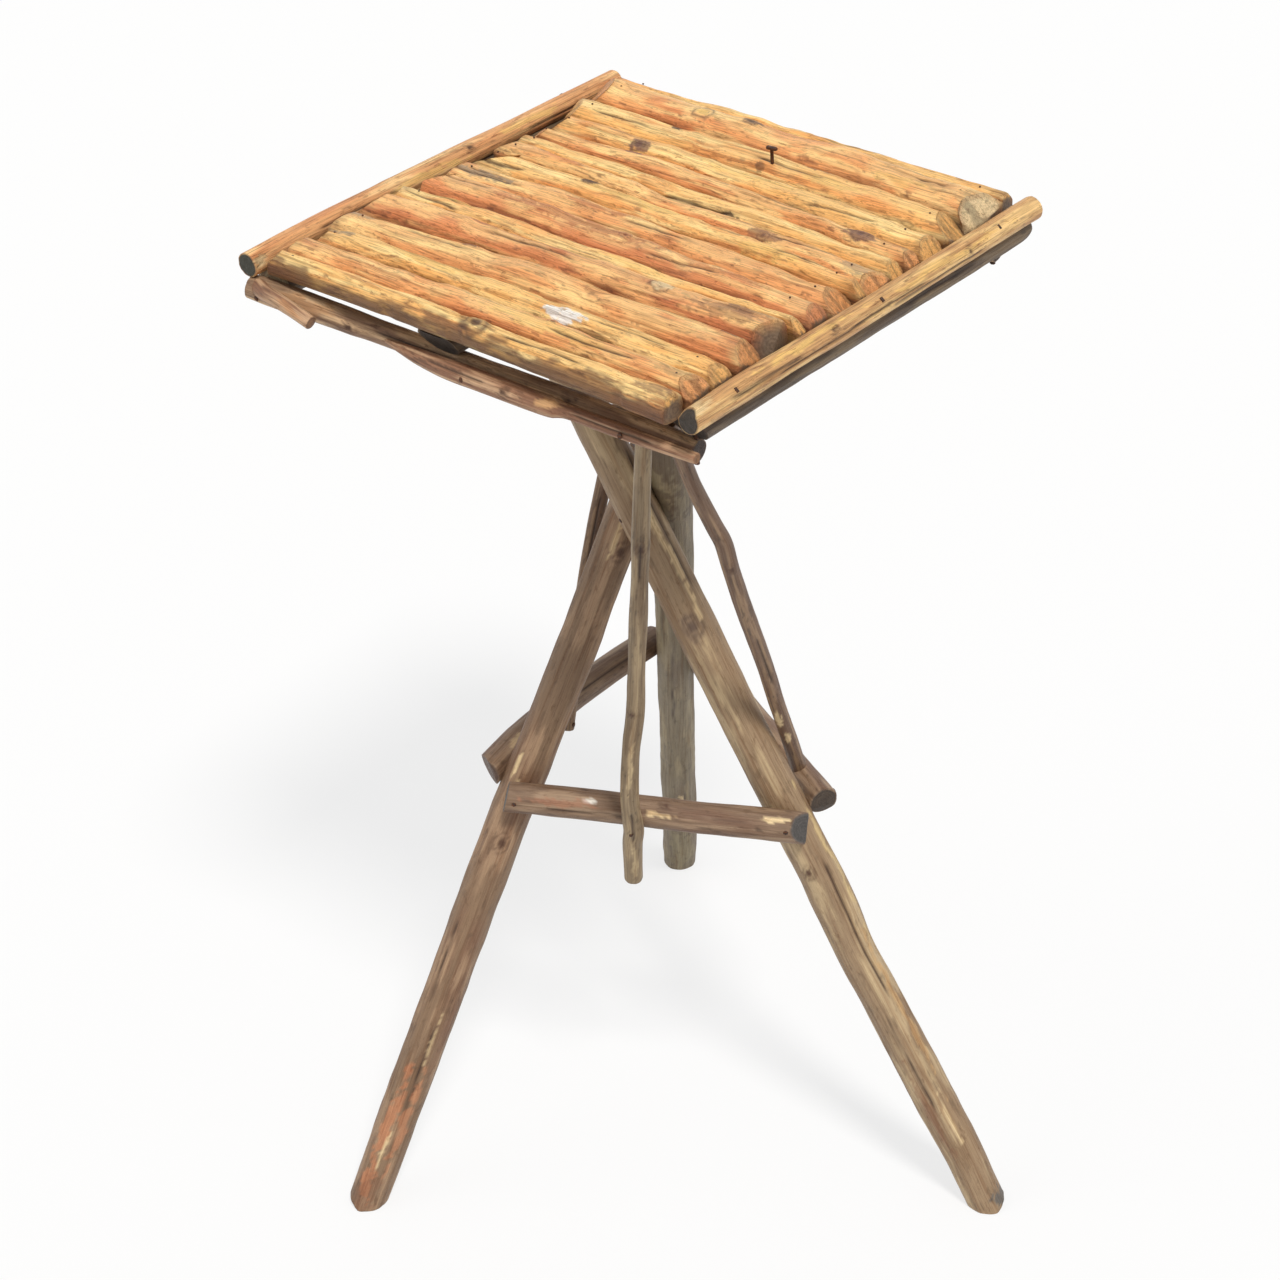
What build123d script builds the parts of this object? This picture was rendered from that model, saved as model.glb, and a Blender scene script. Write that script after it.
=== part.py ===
from build123d import *
import os
from math import asin, atan2, cos, radians, sin, sqrt

# A small rustic table of peeled hickory sticks. A bed of split slats is nailed down on three
# bearers, which two cross rails carry. Three legs cross in a notched hub, splay to the floor and
# are tied by three stretchers. Thin braces run from the stretchers up to the top.
# Origin: on the floor, under the middle of the whole table. X runs along the slats, Y to the back.

# The top's middle and the hub of the legs, seen from above
top_x = -49.13
top_y = 10.9
hub_x = -50.13
hub_y = 7.9

# Bed of slats
bed_height = 669            # planed tops of the bearers
slat_gap = 1.0              # left between one slat and the next
slat_flat = 0.72            # share of a slat's width that is flat underneath, where it was split
slat_outline = [            # one half of it: shares of half the width and of the thickness
    (slat_flat, 0),
    (1, 0.25),
    (0.86, 0.55),
    (0.7, 0.75),
    (0.47, 0.9),
    (0.25, 0.98),
    (0, 1),
]
slat_reach = 150            # half the usual length of a slat
bed_back = 160.5            # back edge of the first slat, from the top's middle

# Slats from back to front: widths at the left, middle and right, thickness, and how far the
# left and right ends run past the usual length
slats = [
    (12.5, 11.5, 16.5, 15, 2, 2),
    (31.0, 31.0, 33.5, 20, -1, 6),
    (26.5, 27.0, 26.5, 18, -3, 4),
    (23.0, 21.5, 25.5, 17, -4, 5),
    (14.0, 16.5, 15.0, 16, -4, 5),
    (14.5, 18.5, 15.0, 15, -4, 5),
    (15.0, 14.0, 18.0, 16, -4, 5),
    (20.0, 19.5, 17.0, 17, -4, 4),
    (24.5, 22.5, 21.5, 16, -3, 2),
    (25.0, 24.5, 22.0, 18, -2, 3),
    (19.5, 16.5, 13.0, 16, -3, 3),
    (26.0, 23.0, 25.0, 20, -2, 2),
    (26.0, 26.0, 25.0, 19, -4, 2),
    (19.5, 18.5, 20.5, 17, -6, 1),
    (17.0, 21.0, 19.0, 16, -6, 1),
    (12.5, 14.5, 18.0, 16, -6, 1),
]

# Bearers: oval poles, planed flat on top
bearer_height = 20
bearer_planed = 3
left_bearer_width = 28
middle_bearer_width = 31
right_bearer_width = 25
middle_bearer_x = -20
bearer_skew = 2             # the back ends of the outer bearers stand further out
left_bearer_front = 4       # front ends, in from the front edge of the slats
middle_bearer_front = 1
right_bearer_front = 9
bearer_back = 1             # back ends, in from the back edge of the slats

# Edge rails, let into the outer shoulders of the bearers
edge_rail_dia = 14.5
edge_rail_seat = 1.8
edge_rail_gap = 1           # from the longest slat
edge_rail_out = 2.5         # its middle beyond the flat of the bearer
edge_rail_end = 5           # ends beyond the slats
left_edge_skew = (4, -2)    # its front and back ends stand to the right by
right_edge_skew = (-1.5, 1.5)
right_edge_in = (1, 2)      # its front and back ends, in from the edges of the slats

# Cross rails under the bearers
rail_dia = 16
rail_seat = 2
front_rail_reach = (157, 156)   # to its left and right ends from the middle
front_rail_in = 20          # in from the front edge of the slats
front_rail_crook = 25       # how far its left end comes forward
front_rail_bend = -60       # where it bends
front_rail_bow = 3          # how far it stands forward there
back_rail_reach = (157, 153)
back_rail_in = 11           # in from the back edge of the slats
back_rail_skew = (-2, 1)    # its left and right ends stand to the back by
stub_dia = 9
stub_length = 52
stub_in = 4                 # from the left end of the front rail
stub_rise = 2

# Branch along the front of the front rail, thick up to where it was torn
branch_dia = 12
branch_thin_dia = 8
branch_seat = 1
branch_rise = 2
branch_left = 60            # left of the middle
branch_tear = 67            # right of the middle
branch_right = 160
branch_scarf = 25           # length of the slanted cut at its left end

# Legs: how far and in which direction each foot stands from the hub
hub_height = 496
hub_notch = 1.9             # how deep the legs are let into each other there
left_leg_dia = 27.5
left_reach = 234.6
left_bearing = -111
left_leg_stub = 21          # the left leg ends this far above the hub
right_leg_dia = 27.5
right_reach = 256.3
right_bearing = 9.2
rear_leg_dia = 26
rear_reach = 252.3
rear_bearing = 125.6

# Stretchers, nailed to the outsides of the legs. The heights are those at which the middle of
# a leg is crossed, and the ends run so far beyond it
stretcher_dia = 20
stretcher_seat = 1.5
front_stretcher_left = 297
front_stretcher_right = 291
front_stretcher_end = 9
left_stretcher_height = 302
left_stretcher_bow = 6
left_stretcher_end = 5
left_stretcher_slant = 0.7  # slope of the cut across its front end
right_stretcher_height = 287
right_stretcher_front_end = 4
right_stretcher_rear_end = 13

# Braces. Each meets its stretcher at a share of the length between the legs
brace_dia = 10
brace_seat = 1
front_brace_at = 0.44
front_brace_tail = 50       # how far it runs on below the stretcher
front_brace_x = 108         # where it meets the front rail
right_brace_at = 0.165
right_brace_in = 28         # from the middle of the right bearer
left_brace_at = 0.62
left_brace_tail = 6
left_brace_y = 46           # where it meets the side of the middle bearer

# Cut nails with tapered rectangular shanks
nail_width = 3
nail_tip = 1.5
nail_thick = 1.8
nail_proud = 0.4
nail_bite = 4               # how far a nail goes past the middle of the inner piece
edge_nail_seams = (2, 8, 14)    # an edge rail is nailed in line with these joints of the slats
proud_nail_slat = 3
proud_nail_x = 20
proud_nail_across = 0.7     # its place across the slat, as a share from the back
proud_nail_rise = 10
proud_nail_depth = 10
proud_nail_head = 8

# Sizes that follow from these
bearer_middle = bed_height + bearer_planed - bearer_height / 2
bearer_under = bearer_middle - bearer_height / 2
rail_height = bearer_under - rail_dia / 2 + rail_seat
edge_rail_height = bed_height + edge_rail_dia / 2 - edge_rail_seat
up = Vector(0, 0, 1)


def slat_width(row, x):
    """Width of a slat at x, on a parabola through its three widths."""
    left, middle, right = row[:3]
    along = x / slat_reach
    return middle + (right - left) / 2 * along + ((left + right) / 2 - middle) * along**2


def seam(number, x):
    """Y of the joint in front of that many slats."""
    return bed_back - sum(slat_width(row, x) for row in slats[:number])


def oval(width, share):
    """Half the width of a bearer at a share of its half height."""
    return width / 2 * sqrt(1 - share**2)


def at(x, y, z):
    """A point given from the middle of the top."""
    return Vector(top_x + x, top_y + y, z)


def on_line(ends, y):
    """The point of a straight pole where it passes y, counted from the middle of the top."""
    start, end = ends
    return start + (end - start) * ((top_y + y - start.Y) / (end.Y - start.Y))


def pole(start, end, dia):
    """A straight round pole from one point to another."""
    with BuildSketch(Plane(start, z_dir=end - start)) as section:
        Circle(dia / 2)
    extrude(section.sketch, amount=(end - start).length)


def crooked_pole(points, dia):
    """A round pole that turns at each inner point."""
    with BuildLine() as path:
        Polyline(*points)
    with BuildSketch(Plane(points[0], z_dir=points[1] - points[0])) as section:
        Circle(dia / 2)
    sweep(section.sketch, path=path.line, transition=Transition.RIGHT)


def cut(*others):
    """Cut the seats of other pieces, or the holes of nails, into the piece being made."""
    for other in others:
        add(other.part, mode=Mode.SUBTRACT)


# Layout of the top
planed_share = 1 - 2 * bearer_planed / bearer_height
bed_front = seam(len(slats), 0)
left_rail_x = -(slat_reach + max(row[4] for row in slats) + edge_rail_gap + edge_rail_dia / 2)
right_rail_x = slat_reach + max(row[5] for row in slats) + edge_rail_gap + edge_rail_dia / 2
left_bearer_x = left_rail_x + edge_rail_out + oval(left_bearer_width, planed_share)
right_bearer_x = right_rail_x - edge_rail_out - oval(right_bearer_width, planed_share)
left_edge_rail_ends = (
    at(left_rail_x + left_edge_skew[0], bed_front - edge_rail_end, edge_rail_height),
    at(left_rail_x + left_edge_skew[1], bed_back + edge_rail_end, edge_rail_height),
)
right_edge_rail_ends = (
    at(right_rail_x + right_edge_skew[0], bed_front + right_edge_in[0], edge_rail_height),
    at(right_rail_x + right_edge_skew[1], bed_back - right_edge_in[1], edge_rail_height),
)


def bearer_ends(x, front, skew):
    return (
        at(x, bed_front + front, bearer_middle),
        at(x + skew, bed_back - bearer_back, bearer_middle),
    )


left_bearer_ends = bearer_ends(left_bearer_x, left_bearer_front, -bearer_skew)
middle_bearer_ends = bearer_ends(middle_bearer_x, middle_bearer_front, 0)
right_bearer_ends = bearer_ends(right_bearer_x, right_bearer_front, bearer_skew)

# The front rail bends forward and rises to its left end, which carries the edge rail
front_rail_y = bed_front + front_rail_in
front_rail_left = edge_rail_height - (edge_rail_dia + rail_dia) / 2 + 1
front_rail_points = [
    at(-front_rail_reach[0], front_rail_y - front_rail_crook, front_rail_left),
    at(front_rail_bend, front_rail_y - front_rail_bow, rail_height),
    at(front_rail_reach[1], front_rail_y, rail_height),
]
back_rail_y = bed_back - back_rail_in
back_rail_ends = (
    at(-back_rail_reach[0], back_rail_y + back_rail_skew[0], rail_height),
    at(back_rail_reach[1], back_rail_y + back_rail_skew[1], rail_height),
)


def front_rail_at(x, out=0, rise=0):
    """A point at x, so far in front of and above the front rail's middle."""
    left, bend, right = front_rail_points
    start, end = (left, bend) if x < front_rail_bend else (bend, right)
    return start + (end - start) * ((top_x + x - start.X) / (end.X - start.X)) + Vector(0, -out, rise)


# Layout of the legs. Each runs past the hub's middle on the same side, so that the three lean
# on each other in a ring
mean_dia = (left_leg_dia + right_leg_dia + rear_leg_dia) / 3
mean_lean = atan2((left_reach + right_reach + rear_reach) / 3, hub_height)
ring_share = sqrt(3 * cos(mean_lean)**2 + 0.75 * sin(mean_lean)**2) / (3 * cos(mean_lean))
hub_ring = (mean_dia - hub_notch) * ring_share


class Leg:
    def __init__(self, reach, bearing, dia):
        turn = radians(bearing)
        aim = turn + asin(hub_ring / reach)
        travel = sqrt(reach**2 - hub_ring**2)
        self.dia = dia
        self.foot = Vector(hub_x + reach * cos(turn), hub_y + reach * sin(turn), 0)
        self.slope = Vector(-travel * cos(aim), -travel * sin(aim), hub_height) / hub_height

    def point(self, height):
        return self.foot + self.slope * height

    def nearest(self, other):
        """The point on this leg that is nearest to another leg."""
        across = self.slope.cross(other.slope)
        gap = other.foot - self.foot
        return self.point(gap.cross(other.slope).dot(across) / across.dot(across))


left_leg = Leg(left_reach, left_bearing, left_leg_dia)
right_leg = Leg(right_reach, right_bearing, right_leg_dia)
rear_leg = Leg(rear_reach, rear_bearing, rear_leg_dia)


# Layout of the stretchers. Each lies against the outsides of two legs
class Stretcher:
    def __init__(self, first, first_height, second, second_height):
        self.middles = [first.point(first_height), second.point(second_height)]
        self.run = (self.middles[1] - self.middles[0]).normalized()
        self.laps = []
        for leg, middle in zip((first, second), self.middles):
            out = self.run.cross(leg.slope).normalized()
            self.laps.append(middle + out * ((leg.dia + stretcher_dia) / 2 - stretcher_seat))
        self.out = self.run.cross(up)

    def point(self, along, bow=0):
        """A point on its middle: 0 at the first leg and 1 at the second."""
        straight = self.laps[0] + (self.laps[1] - self.laps[0]) * along
        return straight + self.out * bow * 4 * along * (1 - along)

    def ends(self, first_end, second_end):
        """Both ends, so far beyond the legs."""
        return self.laps[0] - self.run * first_end, self.laps[1] + self.run * second_end


front_line = Stretcher(left_leg, front_stretcher_left, right_leg, front_stretcher_right)
back_line = Stretcher(right_leg, right_stretcher_height, rear_leg, right_stretcher_height)
side_line = Stretcher(rear_leg, left_stretcher_height, left_leg, left_stretcher_height)


# Layout of the braces
def lapped_brace(stretcher, crossing, side, top, tail):
    """Lap, top and lower end of a brace that crosses a stretcher on one side (1 is outside)."""
    out = stretcher.run.cross(top - crossing).normalized() * side
    lap = crossing + out * ((stretcher_dia + brace_dia) / 2 - brace_seat)
    return lap, top, lap - (top - lap).normalized() * tail


brace_top_out = (rail_dia + brace_dia) / 2 - brace_seat
front_crossing = front_line.point(front_brace_at)
front_brace_top = front_rail_at(front_brace_x, -brace_top_out)
front_lap, front_top, front_tail = lapped_brace(
    front_line, front_crossing, 1, front_brace_top, front_brace_tail
)
left_crossing = side_line.point(left_brace_at, left_stretcher_bow)
left_brace_x = middle_bearer_x - (middle_bearer_width + brace_dia) / 2 + brace_seat
left_lap, left_top, left_tail = lapped_brace(
    side_line, left_crossing, -1, at(left_brace_x, left_brace_y, bearer_middle), left_brace_tail
)

# The right brace stands on top of its stretcher, beside the right leg
right_crossing = back_line.point(right_brace_at)
right_top = front_rail_at(right_bearer_x - right_brace_in, -brace_top_out)
right_rise = (right_top - right_crossing).normalized()


# Nails. Each goes through an outer piece to the middle of an inner one and a little beyond
def nails(name, joints):
    """Tapered cut nails, one for each joint: outer middle, outer diameter and inner middle."""
    with BuildPart() as group:
        for outer, dia, inner in joints:
            away = (outer - inner).normalized()
            head = Plane(outer + away * (dia / 2 + nail_proud), z_dir=away)
            length = dia / 2 + nail_proud + (outer - inner).length + nail_bite
            with BuildSketch(head):
                Rectangle(nail_width, nail_thick)
            with BuildSketch(head.offset(-length)):
                Rectangle(nail_tip, nail_thick)
            loft(ruled=True)
    group.part.label = name
    return group


edge_rail_joints = []
for rail, bearer in (
    (left_edge_rail_ends, left_bearer_ends),
    (right_edge_rail_ends, right_bearer_ends),
):
    for number in edge_nail_seams:
        y = seam(number, 0)
        edge_rail_joints.append((on_line(rail, y), edge_rail_dia, on_line(bearer, y)))
edge_rail_nails = nails("edge_rail_nails", edge_rail_joints)

bearer_joints = []
for ends in (left_bearer_ends, middle_bearer_ends, right_bearer_ends):
    front_middle = front_rail_at(ends[0].X - top_x)
    front_y = max(front_middle.Y, ends[0].Y + bearer_height / 2) - top_y
    bearer_joints.append((front_middle, rail_dia, on_line(ends, front_y)))
    back_x = min(on_line(ends, back_rail_y).X - top_x, back_rail_reach[1] - rail_dia / 3)
    under = at(back_x, back_rail_y, rail_height)
    bearer_joints.append((under, rail_dia, at(back_x, back_rail_y, bearer_middle)))
bearer_nails = nails("bearer_nails", bearer_joints)

hub_joints = []
for outer, inner in ((left_leg, right_leg), (right_leg, rear_leg), (rear_leg, left_leg)):
    hub_joints.append((outer.nearest(inner), outer.dia, inner.nearest(outer)))
hub_nails = nails("hub_nails", hub_joints)

stretcher_joints = []
for stretcher in (front_line, back_line, side_line):
    for lap, middle in zip(stretcher.laps, stretcher.middles):
        stretcher_joints.append((lap, stretcher_dia, middle))
stretcher_nails = nails("stretcher_nails", stretcher_joints)

brace_joints = [
    (front_lap, brace_dia, front_crossing),
    (left_lap, brace_dia, left_crossing),
    (right_crossing, stretcher_dia, right_crossing + right_rise * stretcher_dia),
    (front_top, brace_dia, front_rail_at(front_brace_x)),
    (right_top, brace_dia, front_rail_at(right_top.X - top_x)),
    (left_top, brace_dia, at(middle_bearer_x, left_brace_y, bearer_middle)),
]
brace_nails = nails("brace_nails", brace_joints)

# The branch is torn off to a thinner stem part of the way along
branch_out = (rail_dia + branch_dia) / 2 - branch_seat
branch_thin_out = (rail_dia + branch_thin_dia) / 2 - branch_seat
branch_start = front_rail_at(-branch_left, branch_out, branch_rise)
branch_step = front_rail_at(branch_tear, branch_out, branch_rise)
branch_stem = front_rail_at(branch_tear - branch_dia, branch_thin_out, branch_rise)
branch_end = front_rail_at(branch_right, branch_thin_out, branch_rise)
branch_middle = (branch_start + branch_step) / 2
stem_middle = (branch_step + branch_end) / 2
branch_joints = [
    (branch_middle, branch_dia, front_rail_at(branch_middle.X - top_x)),
    (stem_middle, branch_thin_dia, front_rail_at(stem_middle.X - top_x)),
]
branch_nails = nails("branch_nails", branch_joints)

# One nail stands proud of the top, with a T head
proud_row = slats[proud_nail_slat - 1]
proud_back, proud_front = (seam(proud_nail_slat + step, proud_nail_x) for step in (-1, 0))
proud_y = proud_back + (proud_front - proud_back) * proud_nail_across
proud_foot = at(proud_nail_x, proud_y, bed_height + proud_row[3] - proud_nail_depth)
with BuildPart() as proud_nail:
    with BuildSketch(Plane(proud_foot)):
        Rectangle(nail_thick, nail_thick)
    extrude(amount=proud_nail_depth + proud_nail_rise)
    with BuildSketch(Plane(proud_foot + up * (proud_nail_depth + proud_nail_rise))):
        Rectangle(proud_nail_head, nail_thick + 1)
    extrude(amount=nail_thick)
proud_nail.part.label = "proud_nail"

# Rails
with BuildPart() as left_edge_rail:
    pole(*left_edge_rail_ends, edge_rail_dia)
    cut(edge_rail_nails)
left_edge_rail.part.label = "left_edge_rail"

with BuildPart() as right_edge_rail:
    pole(*right_edge_rail_ends, edge_rail_dia)
    cut(edge_rail_nails)
right_edge_rail.part.label = "right_edge_rail"

# The front rail keeps the stub of a side branch at its left end
stub_start = front_rail_at(stub_in - front_rail_reach[0], 0, stub_rise)
stub_middle = stub_start + Vector(stub_length / 2, -stub_dia, stub_rise)
stub_end = stub_start + Vector(stub_length, -stub_dia, -stub_dia / 2)
with BuildPart() as front_rail:
    crooked_pole(front_rail_points, rail_dia)
    crooked_pole([stub_start, stub_middle, stub_end], stub_dia)
    cut(left_edge_rail, bearer_nails, branch_nails, brace_nails)
front_rail.part.label = "front_rail"

with BuildPart() as back_rail:
    pole(*back_rail_ends, rail_dia)
    cut(bearer_nails)
back_rail.part.label = "back_rail"


# Bearers: oval poles with a planed top
def bearer(ends, width):
    start, end = ends
    side = oval(width, 0)
    half = bearer_height / 2
    flat = oval(width, planed_share)
    with BuildSketch(Plane(start, x_dir=(-1, 0, 0), z_dir=end - start)) as profile:
        with BuildLine():
            Line((-flat, half * planed_share), (flat, half * planed_share))
            for hand in (-1, 1):
                ThreePointArc(
                    (hand * flat, half * planed_share),
                    (hand * oval(width, planed_share / 2), half * planed_share / 2),
                    (hand * side, 0),
                )
                ThreePointArc((hand * side, 0), (hand * oval(width, 0.7), -0.7 * half), (0, -half))
        make_face()
    extrude(profile.sketch, amount=(end - start).length)


with BuildPart() as left_bearer:
    bearer(left_bearer_ends, left_bearer_width)
    cut(front_rail, back_rail, left_edge_rail, edge_rail_nails, bearer_nails)
left_bearer.part.label = "left_bearer"

with BuildPart() as middle_bearer:
    bearer(middle_bearer_ends, middle_bearer_width)
    cut(front_rail, back_rail, bearer_nails, brace_nails)
middle_bearer.part.label = "middle_bearer"

with BuildPart() as right_bearer:
    bearer(right_bearer_ends, right_bearer_width)
    cut(front_rail, back_rail, right_edge_rail, edge_rail_nails, bearer_nails)
right_bearer.part.label = "right_bearer"

scarf = Plane(branch_start + Vector(0, branch_dia / 4, 0), z_dir=(-branch_dia, -branch_scarf, 0))
with BuildPart() as front_branch:
    pole(branch_start, branch_step, branch_dia)
    split(bisect_by=scarf, keep=Keep.BOTTOM)
    pole(branch_stem, branch_end, branch_thin_dia)
    cut(front_rail, middle_bearer, right_bearer, branch_nails)
front_branch.part.label = "front_branch"

# Legs, trimmed level with the floor. The left one ends above the hub and the others carry slats
with BuildPart() as leg_left:
    pole(left_leg.point(-left_leg_dia), left_leg.point(hub_height + left_leg_stub), left_leg_dia)
    split(bisect_by=Plane.XY, keep=Keep.TOP)
    cut(hub_nails, stretcher_nails)
leg_left.part.label = "leg_left"

with BuildPart() as leg_right:
    pole(right_leg.point(-right_leg_dia), right_leg.point(bed_height + right_leg_dia), right_leg_dia)
    split(bisect_by=Plane.XY, keep=Keep.TOP)
    split(bisect_by=Plane.XY.offset(bed_height), keep=Keep.BOTTOM)
    cut(leg_left, hub_nails, stretcher_nails)
leg_right.part.label = "leg_right"

with BuildPart() as leg_rear:
    pole(rear_leg.point(-rear_leg_dia), rear_leg.point(bed_height + rear_leg_dia), rear_leg_dia)
    split(bisect_by=Plane.XY, keep=Keep.TOP)
    split(bisect_by=Plane.XY.offset(bed_height), keep=Keep.BOTTOM)
    cut(leg_left, leg_right, hub_nails, stretcher_nails)
leg_rear.part.label = "leg_rear"

# Stretchers, hollowed where they lie against the legs
with BuildPart() as front_stretcher:
    pole(*front_line.ends(front_stretcher_end, front_stretcher_end), stretcher_dia)
    cut(leg_left, leg_right, stretcher_nails, brace_nails)
front_stretcher.part.label = "front_stretcher"

with BuildPart() as right_stretcher:
    pole(*back_line.ends(right_stretcher_front_end, right_stretcher_rear_end), stretcher_dia)
    cut(leg_right, leg_rear, stretcher_nails, brace_nails)
right_stretcher.part.label = "right_stretcher"

# The left stretcher is crooked and was cut to a slanted point at its front end
side_start, side_end = side_line.ends(left_stretcher_end, left_stretcher_end + stretcher_dia)
side_slant = side_line.run + up * left_stretcher_slant
side_cut = Plane(side_line.laps[1] + side_line.run * left_stretcher_end, z_dir=side_slant)
with BuildPart() as left_stretcher:
    crooked_pole([side_start, side_line.point(0.5, left_stretcher_bow), side_end], stretcher_dia)
    split(bisect_by=side_cut, keep=Keep.BOTTOM)
    cut(leg_left, leg_rear, right_stretcher, stretcher_nails, brace_nails)
left_stretcher.part.label = "left_stretcher"

# Braces
with BuildPart() as front_brace:
    pole(front_tail, front_top, brace_dia)
    cut(front_stretcher, front_rail, brace_nails)
front_brace.part.label = "front_brace"

with BuildPart() as right_brace:
    pole(right_crossing + right_rise * stretcher_dia / 4, right_top, brace_dia)
    cut(right_stretcher, leg_right, front_rail, brace_nails)
right_brace.part.label = "right_brace"

with BuildPart() as left_brace:
    pole(left_tail, left_top, brace_dia)
    cut(left_stretcher, middle_bearer, brace_nails)
left_brace.part.label = "left_brace"

pieces = [
    left_edge_rail, right_edge_rail, front_rail, back_rail, front_branch,
    left_bearer, middle_bearer, right_bearer, leg_left, leg_right, leg_rear,
    front_stretcher, right_stretcher, left_stretcher, front_brace, right_brace, left_brace,
    edge_rail_nails, bearer_nails, hub_nails, stretcher_nails, brace_nails, branch_nails, proud_nail,
]


# Slats: split poles, flat underneath, with full sides and a rounded back
def slat_section(row, number, x):
    """The slat's profile across the bed at x."""
    back, front = seam(number, x) - slat_gap / 2, seam(number + 1, x) + slat_gap / 2
    middle, half = top_y + (back + front) / 2, (back - front) / 2
    flat, thickness = half * slat_flat, row[3]
    with BuildSketch(Plane.YZ.offset(top_x + x)) as profile:
        with BuildLine():
            Line((middle - flat, bed_height), (middle + flat, bed_height))
            for hand in (-1, 1):
                outline = [
                    (middle + hand * half * across, bed_height + thickness * up_share)
                    for across, up_share in slat_outline
                ]
                for start, belly, end in zip(outline[::2], outline[1::2], outline[2::2]):
                    ThreePointArc(start, belly, end)
        make_face()
    return profile.sketch.faces()[0]


for number, row in enumerate(slats):
    with BuildPart() as slat:
        stations = (-slat_reach - row[4], 0, slat_reach + row[5])
        loft([slat_section(row, number, x) for x in stations], ruled=True)
        if number == proud_nail_slat - 1:
            cut(proud_nail)
    slat.part.label = f"slat_{number + 1:02}"
    pieces.append(slat)

os.makedirs("parts", exist_ok=True)
for piece in pieces:
    export_step(piece.part, f"parts/{piece.part.label}.step")
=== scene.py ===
from collections import namedtuple
from itertools import product
from math import cos, pi, radians, sin
import bpy
import numpy as np
from mathutils import Matrix, Vector


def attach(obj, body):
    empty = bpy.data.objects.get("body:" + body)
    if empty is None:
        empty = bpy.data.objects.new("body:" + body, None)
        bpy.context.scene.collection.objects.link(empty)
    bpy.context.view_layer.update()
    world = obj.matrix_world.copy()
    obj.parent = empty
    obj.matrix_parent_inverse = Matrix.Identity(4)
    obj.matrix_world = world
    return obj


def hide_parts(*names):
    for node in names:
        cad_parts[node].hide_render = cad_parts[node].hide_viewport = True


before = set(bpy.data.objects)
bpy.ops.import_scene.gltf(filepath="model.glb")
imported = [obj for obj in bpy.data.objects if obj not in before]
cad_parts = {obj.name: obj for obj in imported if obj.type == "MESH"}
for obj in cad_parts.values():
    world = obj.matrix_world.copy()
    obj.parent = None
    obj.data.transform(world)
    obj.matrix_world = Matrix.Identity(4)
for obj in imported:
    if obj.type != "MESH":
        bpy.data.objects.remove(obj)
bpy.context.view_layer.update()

# Each stick and slat of the rustic table gets a skin of uneven, peeled wood on the same path.
# Lengths are millimetres from the floor under the middle of the tabletop, with x to the right
# along the slats and y to the back. TOP moves that point to its place in the frame.
TOP = np.array((-49.13, 10.9, 0.0))
BED = 669.0     # the height of the bearers' flat tops, which the slats lie on
CAMERA = np.array((908.5, -1094.3, 1344.8))
TARGET = np.array((-7.4, -6.1, 384.0))
UP = np.array((0.0, 0.0, 1.0))
STICK_STEP = 2.2     # between the rings of a stick's skin
SLAT_STEP = 1.2
SLAT_AROUND = 66


def srgb(*rgb):
    """A colour as it looks, 0 to 255, as linear values."""
    c = np.array(rgb, float) / 255
    return np.where(c <= 0.04045, c / 12.92, ((c + 0.055) / 1.055) ** 2.4)


# ---- noise

def hashed(ix, iy, iz, seed):
    """A scrambled value from -1 to 1 for each cell of a grid."""
    n = (ix * 374761393 + iy * 668265263 + iz * 1440662683 + seed * 1013904223) & 0xFFFFFFFF
    n = ((n ^ (n >> 13)) * 1274126177) & 0xFFFFFFFF
    n = n ^ (n >> 16)
    return n / 0xFFFFFFFF * 2 - 1


def noise(x, y, z, seed=0):
    """Smooth noise from -1 to 1, the same on each run."""
    x, y, z = np.broadcast_arrays(x, y, z)
    cell = [np.floor(v).astype(np.int64) for v in (x, y, z)]
    part = [v - c for v, c in zip((x, y, z), cell)]
    part = [p * p * (3 - 2 * p) for p in part]
    total = 0
    for corner in product((0, 1), repeat=3):
        weights = [p if step else 1 - p for p, step in zip(part, corner)]
        value = hashed(*(c + step for c, step in zip(cell, corner)), seed)
        total = total + weights[0] * weights[1] * weights[2] * value
    return total


def fractal(x, y, z, seed=0):
    """Three layers of noise, each finer and weaker than the last."""
    total, size, scale = 0, 1.0, 1.0
    for layer in range(3):
        total = total + size * noise(x * scale, y * scale, z * scale, seed + 17 * layer)
        size, scale = size * 0.5, scale * 2.1
    return total / 1.75


def smooth(value, low, high):
    t = np.clip((value - low) / (high - low), 0, 1)
    return t * t * (3 - 2 * t)


def bell(value):
    return np.exp(-value ** 2)


def blend(colour, other, amount):
    return colour + (other - colour) * np.asarray(amount)[..., None]


# ---- palettes

Look = namedtuple("Look", "plain light dark blotch")


def palette(*colours):
    return Look(*(srgb(*colour) for colour in colours))


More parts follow.
